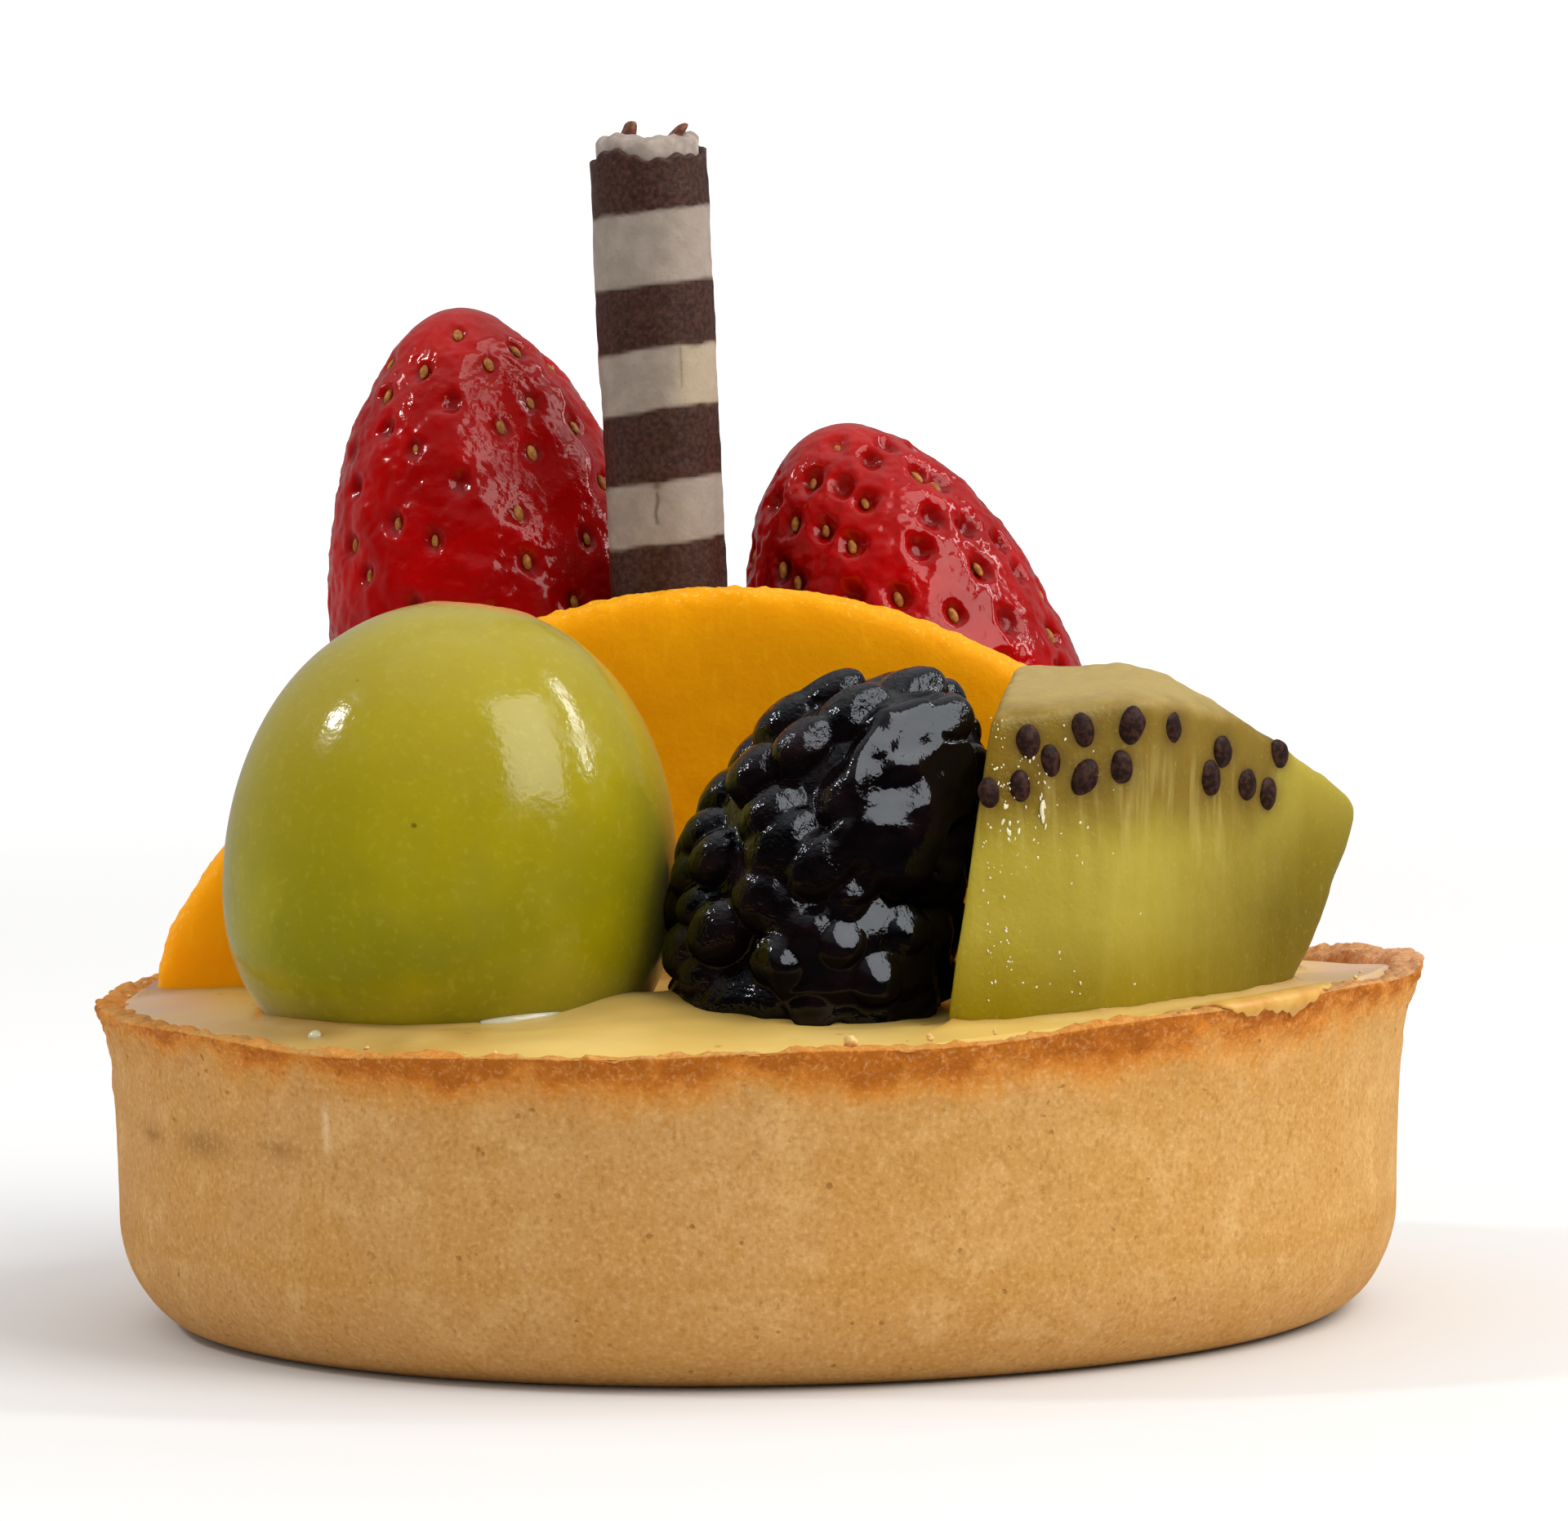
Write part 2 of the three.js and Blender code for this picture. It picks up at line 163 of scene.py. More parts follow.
def lumps(points, size, seed):
    # Value noise from -1 to 1: a seeded lattice, blended smoothly between the corners of each cell.
    lattice = np.random.default_rng(seed).uniform(-1, 1, (32, 32, 32))
    cell = points / size
    base = np.floor(cell).astype(int)
    part = cell - base
    part = part * part * (3 - 2 * part)
    total = 0
    for corner in range(8):
        offset = np.array([corner & 1, corner >> 1 & 1, corner >> 2])
        weight = np.where(offset == 1, part, 1 - part).prod(axis=-1)
        index = (base + offset) % 32
        total = total + weight * lattice[index[..., 0], index[..., 1], index[..., 2]]
    return total


def stack(x, y, z):
    # Three arrays of like or spreading shapes as one array of points.
    return np.stack(np.broadcast_arrays(x, y, z), axis=-1)


def unit(vectors):
    return vectors / np.linalg.norm(vectors, axis=-1, keepdims=True)


def grid(rows, columns):
    # Steps from 0 to 1 down the first axis, and angles once round along the second.
    steps = np.linspace(0, 1, rows)[:, None]
    angles = (np.arange(columns) * turnOf / columns)[None, :]
    return steps, angles


def tubeCorners(rows, columns):
    # Corner lists of the quads and end triangles of a tube with a pole point before and after it.
    row, column = np.meshgrid(np.arange(rows - 1), np.arange(columns), indexing="ij")
    low = 1 + row * columns
    after = (column + 1) % columns
    quads = np.stack([low + column, low + after, low + columns + after, low + columns + column], axis=-1)
    ring = np.arange(columns)
    start = np.stack([ring * 0, 1 + (ring + 1) % columns, 1 + ring], axis=-1)
    last = 1 + (rows - 1) * columns
    end = np.stack([last + ring, last + (ring + 1) % columns, ring * 0 + last + columns], axis=-1)
    return quads.reshape(-1, 4), np.concatenate([start, end])


def closedPoints(points):
    # A grid of points as one list, with the middle of its first and last row as poles.
    rows = points.reshape(points.shape[0], -1, 3)
    return np.concatenate([rows[0].mean(0)[None], rows.reshape(-1, 3), rows[-1].mean(0)[None]])


def makeMesh(name, points, quads, triangles):
    mesh = bpy.data.meshes.new(name)
    mesh.vertices.add(len(points))
    mesh.vertices.foreach_set("co", (points * mm).astype(np.float32).ravel())
    mesh.loops.add(quads.size + triangles.size)
    mesh.loops.foreach_set("vertex_index", np.concatenate([quads.ravel(), triangles.ravel()]).astype(np.int32))
    sizes = np.concatenate([np.full(len(quads), 4), np.full(len(triangles), 3)])
    mesh.polygons.add(len(sizes))
    mesh.polygons.foreach_set("loop_start", (np.cumsum(sizes) - sizes).astype(np.int32))
    mesh.update(calc_edges=True)
    mesh.validate()
    mesh.shade_smooth()
    return mesh


def putPiece(mesh, paint, replaced=()):
    piece = bpy.data.objects.new(mesh.name, mesh)
    bpy.context.scene.collection.objects.link(piece)
    mesh.materials.append(paint.material)
    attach(piece, "root")
    if replaced:
        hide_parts(*replaced)
    return piece


def tubePiece(name, points, paint, replaced=(), marks=None):
    # A closed tube of rows x columns points; marks are named values for each of them.
    quads, triangles = tubeCorners(points.shape[0], points.shape[1])
    mesh = makeMesh(name, closedPoints(points), quads, triangles)
    for mark, values in (marks or {}).items():
        grown = np.broadcast_to(values, points.shape[:2])
        whole = np.concatenate([grown[:1].mean(keepdims=True)[0], grown.ravel(), grown[-1:].mean(keepdims=True)[0]])
        mesh.attributes.new(mark, "FLOAT", "POINT").data.foreach_set("value", whole.astype(np.float32))
    return putPiece(mesh, paint, replaced)


def beadsPiece(name, centres, axes, sizes, paint, rings=7, columns=10, rough=0.0, seed=1):
    # Many small ellipsoids as one mesh: centres n x 3, axes n x 3 x 3 with rows as directions, sizes n x 3.
    steps, angles = grid(rings, columns)
    slope = (steps - 0.5) * math.pi * 0.86
    ball = stack(np.cos(slope) * np.cos(angles), np.cos(slope) * np.sin(angles), np.sin(slope))
    one = closedPoints(ball)
    one[[0, -1]] = [[0, 0, -1], [0, 0, 1]]
    local = one[None] * sizes[:, None, :]
    points = np.einsum("npk,nkj->npj", local, axes) + centres[:, None, :]
    if rough:
        dents = lumps(points, float(sizes.mean()), seed)[..., None]
        points = points + rough * dents * (points - centres[:, None, :])
    quads, triangles = tubeCorners(rings, columns)
    shift = (np.arange(len(centres)) * len(one))[:, None, None]
    mesh = makeMesh(name, points.reshape(-1, 3), (quads + shift).reshape(-1, 4), (triangles + shift).reshape(-1, 3))
    return putPiece(mesh, paint)


def turned(points, tilt, foot):
    # Turns points about Y by tilt, so that positive tips the top to +X, and moves them to foot.
    cosine = math.cos(tilt)
    sine = math.sin(tilt)
    x, y, z = np.moveaxis(points, -1, 0)
    return stack(cosine * x + sine * z, y, cosine * z - sine * x) + np.array(foot)


# ---- crust ----
crust = {
    "height": 19.3, "baseRadius": 33.3, "wallRadius": 38.15, "footHeight": 6.5, "lipRadius": 39.8,
    "innerRadius": 37.4, "floor": 3.0, "rows": 118, "columns": 620, "rounding": 0.3,
    "waves": 0.16, "lipCrumb": 0.46, "browning": 1.0,
}


def lipHeight(angle):
    # Height of the lip round the case: two turns of a slow wave, higher on the right.
    wave = 0.55 * np.cos(angle) - 0.45 * np.sin(angle)
    return crust["height"] + wave + 0.7 * np.cos(2 * angle) - 0.3 * np.sin(2 * angle)


def crustSection():
    # The section as [radius, height, share of the lip's unevenness]: base, quarter ellipse, wall,
    # lip and inside. It is sampled evenly, rounded by a running average and thinned where it is hidden.
    top = crust["height"]
    corners = [(0, 0, 0), (crust["baseRadius"], 0, 0)]
    for turn in np.linspace(0, math.pi / 2, 12)[1:]:
        reach = crust["baseRadius"] + (crust["wallRadius"] - crust["baseRadius"]) * math.sin(turn)
        corners.append((reach, crust["footHeight"] * (1 - math.cos(turn)), 0))
    corners += [(38.3, top - 7, 0.4), (38.6, top - 3.7, 0.7), (38.95, top - 2.1, 0.9), (39.4, top - 1, 1)]
    corners += [(crust["lipRadius"], top - 0.1, 1), (38.9, top + 0.1, 1)]
    corners += [(crust["innerRadius"], top - 0.35, 1), (36.9, top - 1.6, 0.8), (35.9, 10, 0), (35, 6, 0)]
    corners += [(32, crust["floor"], 0), (0, crust["floor"], 0)]
    corners = np.array(corners, float)
    lengths = np.linalg.norm(np.diff(corners[:, :2], axis=0), axis=1)
    along = np.concatenate([[0], np.cumsum(lengths)])
    step = 0.05
    even = np.arange(0, along[-1], step)
    fine = np.stack([np.interp(even, along, corners[:, part]) for part in range(3)], axis=1)
    reach = int(3 * crust["rounding"] / step)
    kernel = np.exp(-0.5 * (np.arange(-reach, reach + 1) * step / crust["rounding"]) ** 2)
    padded = np.pad(fine, ((reach, reach), (0, 0)), mode="edge")
    columns = [np.convolve(padded[:, part], kernel / kernel.sum(), "valid") for part in range(3)]
    fine = np.stack(columns, axis=1)
    outside = (fine[:, 0] > 30) & (even < along[-1] * 0.62)
    lip = (fine[:, 1] > top - 2.4) & (fine[:, 0] > 36.5)
    density = 0.12 + 1.0 * outside + 3.0 * lip
    share = np.cumsum(density) / density.sum()
    picked = np.interp(np.linspace(0, 1, crust["rows"]), share, np.arange(len(fine)))
    return np.stack([np.interp(picked, np.arange(len(fine)), fine[:, part]) for part in range(3)], axis=1)


def crustSurface(section, angle, thick=0.0):
    # The section carried round the case, rougher at the lip; thick lifts it along its own normal.
    radius, height, share = [section[:, part][:, None] for part in range(3)]
    slopeOut = np.gradient(section[:, 0])[:, None]
    slopeUp = np.gradient(section[:, 1])[:, None]
    length = np.hypot(slopeOut, slopeUp) + 1e-9
    crags = 0.13 * np.sin(7 * angle + 1.1) + 0.1 * np.sin(13 * angle + 2.3)
    spread = radius + 0.3 * np.cos(angle) * share ** 3
    lift = share * (lipHeight(angle) - crust["height"] + crags)
    points = stack(spread * np.cos(angle), spread * np.sin(angle), height + lift)
    away = np.clip(height / 3, 0, 1) * (radius > 30)
    relief = crust["waves"] * lumps(points, 7.0, 3) + 0.05 * lumps(points, 1.6, 4) + 0.025 * lumps(points, 0.6, 5)
    crumb = crust["lipCrumb"] * (0.6 * lumps(points, 1.1, 6) + 0.4 * lumps(points, 0.5, 7)) - 0.1
    offset = away * (relief * 0.8 - 0.06 + share ** 3 * crumb) + thick
    normal = stack(slopeUp / length * np.cos(angle), slopeUp / length * np.sin(angle), -slopeOut / length + 0 * angle)
    return points + normal * offset[..., None]


def crustPaint():
    paint = Paint("bakedCrust", {"Roughness": 0.85, "Specular IOR Level": 0.12})
    pale = paint.mix(paint.rise(paint.axis("X"), -42, 20), shade(196, 146, 87), shade(200, 152, 88))
    base = paint.mix(paint.rise(paint.noise(7.0, 2), 0.38, 0.66) * 0.6, pale, shade(194, 142, 72))
    base = paint.mix(paint.rise(paint.noise(3.2, 4), 0.48, 0.7) * 0.32, base, shade(226, 184, 120))
    base = paint.mix(paint.rise(paint.noise(0.9, 3), 0.5, 0.7) * 0.42, base, shade(182, 131, 58))
    base = paint.mix(paint.rise(paint.noise(0.5, 2, (1, 1, 0.6)), 0.6, 0.72) * 0.4, base, shade(160, 108, 44))
    height = paint.axis("Z") + (paint.noise(5.0, 1) - 0.5) * 1.6
    fold = paint.rise(height, 5.2, 6.0) * paint.rise(height, 7.2, 6.3)
    base = paint.mix(fold * 0.3, base, shade(184, 132, 56))
    base = paint.mix(paint.rise(height, 5.5, 0.5) * 0.3, base, shade(190, 138, 74))
    baked = paint.attribute("baked") + (paint.noise(0.9, 2) - 0.5) * 0.5
    base = paint.mix(paint.rise(baked, 0.05, 0.9) * 0.8, base, shade(212, 142, 58))
    base = paint.mix(paint.rise(baked, 0.45, 1.3) * 0.8, base, shade(198, 114, 28))
    base = paint.mix(paint.rise(baked, 1.0, 1.5) * 0.6, base, shade(158, 80, 12))
    base = paint.mix(paint.attribute("smudge"), base, shade(150, 104, 48))
    base = paint.mix(paint.attribute("steamed") * 0.7, base, shade(204, 150, 116))
    base = paint.mix(paint.attribute("scratch") * 0.7, base, shade(230, 196, 150))
    grains = paint.noise(0.3, 2)
    base = paint.mix(paint.rise(grains, 0.52, 0.72) * 0.23, base, shade(238, 200, 144))
    base = paint.mix(paint.rise(grains, 0.48, 0.3) * 0.3, base, shade(150, 100, 46))
    grit = paint.noise(0.5, 3)
    crumb = paint.rise(grit, 0.56, 0.68) * paint.attribute("crumb")
    base = paint.mix(crumb * 0.32, base, shade(226, 162, 84))
    base = paint.mix(paint.rise(grit, 0.44, 0.32) * paint.attribute("crumb") * 0.5, base, shade(158, 84, 22))
    warp = paint.cells(1.25) + (paint.noise(0.35, 2) - 0.5) * 0.5
    pores = paint.rise(warp, 0.14, 0.04) * paint.rise(paint.noise(3.5, 1), 0.47, 0.6)
    base = paint.mix(pores * 0.6, base, shade(132, 88, 36))
    paint.feed("Base Color", base)
    rough = paint.noise(0.4, 2) + paint.noise(1.3, 1) * 0.7 - pores * 0.7
    paint.bump(rough * (1.0 + paint.attribute("crumb") * 2.2), 0.1, 0.75)
    return paint


def makeCrust():
    section = crustSection()
    angle = grid(2, crust["columns"])[1]
    points = crustSurface(section, angle)
    height = section[:, 1][:, None]
    share = section[:, 2][:, None]
    below = crust["height"] - height + 0 * angle
    outer = np.arange(len(section))[:, None] <= np.argmax(section[:, 0])
    drift = lumps(points, 5.0, 8) * 0.55 + lumps(points, 1.4, 9) * 0.45
    degrees = np.degrees(angle)
    # The oven side, front and front right, is browner and the brown reaches further down there.
    facing = np.exp(-(((degrees - 276) / 72) ** 4)) + 0.35 * np.exp(-(((degrees - 40) / 60) ** 2))
    facing = facing * (0.82 + 0.3 * np.cos(np.radians(degrees - 312)))
    deep = 1.0 + 1.0 * facing + 0.5 * drift
    band = np.where(outer, np.exp(-(np.maximum(below - 0.3 * deep, 0) / (1.05 * deep)) ** 2), 0)
    band = band * (0.3 + 0.62 * facing) * (1 + 0.6 * drift)
    inside = 0.45 - 0.4 * np.exp(-(((degrees + 180) % 360 - 180) / 34) ** 2)
    brow = np.where(outer, 0.55, inside) * np.exp(-np.maximum(below - 0.4, 0) / 1.3) * (1 + 0.6 * drift)
    cast = 0.18 * share ** 2 * np.where(outer, np.exp(-np.maximum(below - 3, 0) / 2.5), 1) * (1 + drift)
    baked = crust["browning"] * np.clip(band + brow + cast, 0, 1.6)
    # Two faint smudges on the left front, as [angle, height, half width in degrees, half height].
    smudge = 0
    for middle, level, wide, high in [(204.5, 12.7, 2.4, 0.4), (214.8, 12.6, 3.8, 0.75), (226, 13.0, 2.4, 0.5)]:
        smudge = smudge + np.exp(-((degrees - middle) / wide) ** 2 - ((height - level) / high) ** 2)
    smudge = np.clip(smudge * (1.0 + 0.5 * drift), 0, 1) * outer * 0.8
    inside = np.where(outer, 0, np.exp(-(((degrees + 180) % 360 - 180) / 34) ** 2))
    crumb = np.clip(1.25 - np.abs(below - 0.9) / 1.6, 0, 1)
    scratch = np.exp(-((degrees - 231.68) / 0.35) ** 4 - ((height - 14.7 - 0.3 * drift) / 1.5) ** 4) * outer
    marks = {"baked": baked, "smudge": smudge, "crumb": crumb, "steamed": inside, "scratch": scratch}
    tubePiece("crustFine", points, crustPaint(), ["crust"], marks)
    print("crust made")


# ---- fruit places, shared by the pieces and by the custard that rises round them ----
grape = {"centre": (-17.3, -16.6, 27), "width": 13.05, "up": 16, "down": 11.5, "lean": math.radians(3.5)}
bramble = {
    "centre": (3.9, -22, 27), "width": 8.6, "up": 12.3, "down": 9.4, "drupelets": 84, "bead": 2.05,
    "seed": 40, "flatten": 0.35, "half": (0.37, -0.825, 0.45), "flare": 1.5, "flareFrom": -4.2,
    "hug": 0.42, "hugHeight": -3.0, "hugReach": 3.2, "tuck": 0.9, "sheets": [
        {"facing": (0.36, -0.81, 0.46), "distance": 9.25, "middle": (3.4, 5.4), "reach": (3.4, 6.0),
         "turn": 0.3, "ripple": 0.2, "show": 0.6, "above": -0.1, "proud": 0.3},
        {"facing": (0.376, -0.86, 0.345), "distance": 6.85, "middle": (3.0, -4.6), "reach": (5.4, 4.2),
         "turn": -0.45, "ripple": 0.14, "show": 1.0, "above": 0.55, "proud": 0.25},
    ],
}
peach = {"middle": -2.1, "outerCentre": 6.2, "outerRadius": 36.85, "innerRadius": 23, "front": -3.5, "back": 4.5}
berries = {
    "left": {"foot": (-13.4, 19.6, 24.6), "length": 36, "lean": math.radians(-8), "width": 11.1, "cut": 7.4,
             "belly": 0.42, "nose": 1.45, "pitWidth": 0.62, "pitDepth": 0.4, "puff": 0.14, "wrinkle": 0.16,
             "pits": 126, "bare": 0.36, "bareRight": 0.0,
             "facet": (0.33, -0.82, 0.47), "facetDepth": 1.1},
    "right": {"foot": (13.4, 16.1, 24.4), "length": 29.4, "lean": math.radians(-17), "width": 10.9, "cut": 8,
              "belly": 0.36, "nose": 1.5, "pitWidth": 0.74, "pitDepth": 0.62, "puff": 0.22, "wrinkle": 0.1,
              "pits": 150, "bare": 0.25, "bareRight": 0.5,
              "facet": (0.38, -0.845, 0.377), "facetDepth": 0.3},
}
straw = {"foot": (-4.1, 8.4, 15), "top": (-5.76, 8.4, 69), "radius": 3.6, "inner": 3.0, "innerTop": 70.3}
kiwi = {
    "heart": (21, -17, 28), "skinCentre": (17, -14, 29), "skinRadii": (19, 30, 13.5), "bottom": 17.4,
    "corners": {
        "creaseTop": (22.2, -27.5, 37.4), "creaseFoot": (19.4, -29.8, 20), "leftFoot": (10.6, -32.8, 19.6),
        "leftTop": (13.2, -32, 37.2), "ridge": (22.7, -18, 39.2), "ridgeLeft": (15.2, -18, 39.1),
        "shoulder": (27.9, -20.4, 36), "tip": (35.7, -10.4, 30.1), "innerFoot": (12, -21, 20),
        "footRight": (31.9, -14.5, 20.9), "outerFoot": (30, -5.4, 20.9), "backTop": (22, -5, 34.4),
        "backLeft": (13, -4.3, 20), "backRight": (30, -4.3, 20), "backHigh": (22, -4.5, 33),
    },
    "flats": [
        ("creaseTop", "creaseFoot", "leftFoot"), ("creaseTop", "creaseFoot", "tip"),
        ("creaseTop", "ridge", "ridgeLeft"), ("creaseTop", "ridge", "shoulder"),
        ("ridge", "shoulder", "tip"), ("leftTop", "ridgeLeft", "innerFoot"),
        ("ridge", "ridgeLeft", "backTop"), ("backLeft", "backRight", "backHigh"),
        ("tip", "footRight", "outerFoot"),
    ],
    "sharpness": 30, "rows": 250, "columns": 360,
}


def kiwiPlanes():
    # Each flat as an outward normal and its distance from the origin.
    heart = np.array(kiwi["heart"], float)
    normals = []
    distances = []
    for names in kiwi["flats"]:
        first, second, third = [np.array(kiwi["corners"][name], float) for name in names]
        normal = unit(np.cross(second - first, third - first))
        if normal @ (heart - first) > 0:
            normal = -normal
        normals.append(normal)
        distances.append(normal @ first)
    normals.append(np.array([0, 0, -1.0]))
    distances.append(-kiwi["bottom"])
    return np.array(normals), np.array(distances)


# ---- custard ----
custard = {
    "level": 19.65, "edgeDrop": 0.3, "backDrop": 1.0, "mound": 5.2, "radius": 37.6, "swell": 1.1,
    "meniscus": 0.3, "meniscusWidth": 0.5, "rows": 150, "columns": 520,
}


# Glaze streaks, painted pale as highlights.
glazeStreaks = [
    (232, 236, 11.9, 0.32, 0.34), (282, 309, 11.2, 0.45, 0.36),
]


def aroundFruit(x, y):
    # Distance in plan from the nearest fruit standing in the custard, negative inside one.
    away = np.hypot(x + 17.6, y + 16.6) - 11.0
    away = np.minimum(away, np.hypot(x - 3.0, y + 22) - 7.6)
    normals, distances = kiwiPlanes()
    level = stack(x, y, 20.2 + 0 * x)
    away = np.minimum(away, (level @ normals[:-1].T - distances[:-1]).max(axis=-1))
    slab = np.maximum(np.abs(y - 0.5) - 4, np.abs(x - peach["middle"]) - 34.5)
    return np.minimum(away, slab)


def custardTop(x, y):
    # Level in the middle, turning to the lip by the tenth power of the radius, heaped up behind,
    # with a low swell between the grape and the bramble and a fillet up against each fruit.
    angle = np.arctan2(y, x)
    share = (np.hypot(x, y) / crust["innerRadius"]) ** 10
    lowSide = np.exp(-((np.degrees(angle) - 30) / 32) ** 2)
    edge = lipHeight(angle) - custard["edgeDrop"] - custard["backDrop"] * lowSide
    heap = custard["mound"] * np.exp(-(((x / 21) ** 2 + ((y - 16) / 13.5) ** 2) ** 2))
    swell = custard["swell"] * np.exp(-((x + 6.5) / 6) ** 2 - ((y + 23) / 6) ** 2)
    away = aroundFruit(x, y)
    fillet = custard["meniscus"] * np.exp(-np.maximum(away, -0.3) / custard["meniscusWidth"])
    plane = stack(x, y, 0 * x)
    ripple = 0.16 * lumps(plane, 6.0, 21) + 0.07 * lumps(plane, 2.2, 22)
    foot = np.minimum(np.hypot(x + 13.4, y - 19.6) - 7.6, np.hypot(x - 13.4, y - 16.1) - 8.4)
    fillet = fillet + 1.3 * np.exp(-np.maximum(foot, 0) / 1.1)
    height = custard["level"] + (edge - custard["level"]) * share + heap + swell + fillet + ripple * (1 - share * 0.5)
    return height, away


def custardPaint():
    paint = Paint("pastryCream", {"Subsurface Weight": 0.3, "Subsurface Scale": 1.6 * mm,
                                  "Subsurface Radius": (1.0, 0.75, 0.35), "Specular IOR Level": 0.45})
    base = paint.mix(paint.rise(paint.noise(7.0, 3), 0.35, 0.7), shade(222, 184, 96), shade(230, 196, 114))
    # Milky: smeared glaze, partly painted highlight.
    base = paint.mix(paint.attribute("milky"), base, shade(214, 178, 152))
    # Darker brown where wet: glaze, and round the fruits' feet partly painted shade.
    base = paint.mix(paint.attribute("wet") * 0.7, base, shade(168, 120, 44))
    flecks = paint.rise(paint.cells(2.6), 0.13, 0.06) * paint.rise(paint.noise(4.0, 1), 0.52, 0.6)
    base = paint.mix(flecks * 0.7, base, shade(196, 116, 44))
    paint.feed("Base Color", base)
    paint.feed("Roughness", 0.36 - paint.attribute("wet") * 0.24 + paint.noise(3.0, 3) * 0.15)
    paint.bump(paint.noise(1.1, 2), 0.08, 0.4)
    return paint


def makeCustard():
    under = [(0.5, 3.3), (31.7, 3.3), (34.7, 6.3), (35.6, 10), (36.6, 16.0), (37.9, 16.9)]
    share = np.linspace(0, 1, custard["rows"])
    radii = custard["radius"] * (1 - share ** 1.25)
    radii[-1] = 0.05
    angle = grid(2, custard["columns"])[1]
    radius = np.concatenate([[reach for reach, level in under], radii])[:, None]
    # The rim of the custard wanders in and out along the lip.
    wander = 0.35 * np.sin(3 * angle + 1) + 0.25 * np.sin(8 * angle) + 0.15 * np.sin(19 * angle + 2)
    rim = np.arange(len(radius))[:, None] >= len(under)
    radius = radius + rim * wander * np.clip(radius - 35.6, 0, None) / 2
    x = radius * np.cos(angle)
    y = radius * np.sin(angle)
    top, away = custardTop(x, y)
    lows = np.array([level for reach, level in under])[:, None]
    height = np.concatenate([np.broadcast_to(lows, (len(under), angle.size)), top[len(under):]])
    # The last ring underneath runs inside the crust, so that no gap shows where the edge wanders in.
    last = len(under) - 1
    height[last] = top[last + 1] - 0.6
    height[last - 1] = top[last + 1] - 1.8
    degrees = np.degrees(angle)
    # Pale pinkish-white near the rim on the left and the right: glaze smeared over the cream, partly a painted
    # highlight on that wet glaze.
    side = np.exp(-((degrees - 188) / 32) ** 2) + np.exp(-((degrees + 0 - 352) / 24) ** 2)
    side = side + np.exp(-((degrees - 0) / 18) ** 2)
    points = stack(x, y, height)
    streaks = 0.75 + 0.4 * lumps(points, 2.5, 23)
    milky = np.clip(side * np.clip((radius - 31.5) / 3.5, 0, 1) * streaks, 0, 1)
    # Glaze hugs the foot of each fruit: glossier there, and darker brown, partly the glaze's own colour and partly
    # painted shade where fruit meets cream.
    wet = np.exp(-np.maximum(away, 0) / 0.6) * np.clip(1.2 - np.abs(away + 0.4), 0, 1)
    # Clear glaze has run down between the grape and the lip.
    puddle = np.exp(-((degrees - 233) / 15) ** 4) * np.clip((radius - 31.5) / 2, 0, 1)
    wet = np.maximum(wet, puddle * (0.6 + 0.35 * lumps(points, 2.0, 24)))
    tubePiece("custardFine", points, custardPaint(), ["custard"], {"milky": milky, "wet": wet})
    print("custard made")


def dripPaint():
    paint = Paint("creamDrip", {"Subsurface Weight": 0.35, "Subsurface Scale": 1.0 * mm,
                                "Subsurface Radius": (1.0, 0.7, 0.3)})
    base = paint.mix(paint.rise(paint.noise(2.0, 3), 0.35, 0.65), shade(206, 148, 60), shade(218, 168, 80))
    paint.feed("Base Color", base)
    paint.feed("Roughness", 0.32 + paint.noise(0.8, 2) * 0.2)
    paint.bump(paint.noise(0.6, 3), 0.08, 0.6)
    return paint


def makeDrips():
    # Cream that ran over the lip: a lens on the crust's own surface. Each is [middle in degrees,
    # half width, millimetres over the edge, thickness].
    drips = [(-42, 8.5, 0.6, 0.16)]
    section = crustSection()
    paint = dripPaint()
    edge = int(np.argmax(section[:, 0]))
    along = np.concatenate([[0], np.cumsum(np.linalg.norm(np.diff(section[:, :2], axis=0), axis=1))])
    along = along - along[edge]
    for number, (middle, half, over, thick) in enumerate(drips):
        rows, columns = 44, 150
        part, angles = grid(rows, columns)
        swing = np.cos(angles)
        rise = np.sin(angles)
        # A flat disc in (angle, distance along the section), wavy at its outer edge.
        reach = 1 - part
        degrees = middle + half * reach * swing
        wavy = 0.25 * np.sin(degrees * 0.9 + number) + 0.12 * np.sin(degrees * 2.3) + 0.09 * np.sin(degrees * 5.1)
        outer = over + wavy * (over > 0.05)
        low, high = -outer, 3.6
        distance = (low + high) / 2 + (high - low) / 2 * reach * rise * (1 - 0.12 * swing ** 2)
        index = np.interp(distance, along, np.arange(len(section)))
        pieces = []
        lift = thick * np.sqrt(np.clip(1 - reach ** 2, 0, 1))
        for sign in (-1, 1):
            pieces.append(pointsOnCrust(section, index, np.radians(degrees), 0.08 * sign + lift * (sign > 0)))
        whole = np.concatenate([pieces[0][::-1], pieces[1]])
        tubePiece(f"creamDrip{number + 1}", whole, paint)
    print("drips made")


def pointsOnCrust(section, index, angle, thick):
    # Points on the crust's surface for arrays of section index and angle, lifted by thick.
    radius, height, share = [np.interp(index, np.arange(len(section)), section[:, part]) for part in range(3)]
    out = np.interp(index, np.arange(len(section)), np.gradient(section[:, 0]))
    up = np.interp(index, np.arange(len(section)), np.gradient(section[:, 1]))
    length = np.hypot(out, up)
    crags = 0.13 * np.sin(7 * angle + 1.1) + 0.1 * np.sin(13 * angle + 2.3)
    spread = radius + 0.3 * np.cos(angle) * share ** 3
    lift = share * (lipHeight(angle) - crust["height"] + crags)
    points = stack(spread * np.cos(angle), spread * np.sin(angle), height + lift)
    normal = stack(up / length * np.cos(angle), up / length * np.sin(angle), -out / length)
    return points + normal * thick[..., None]


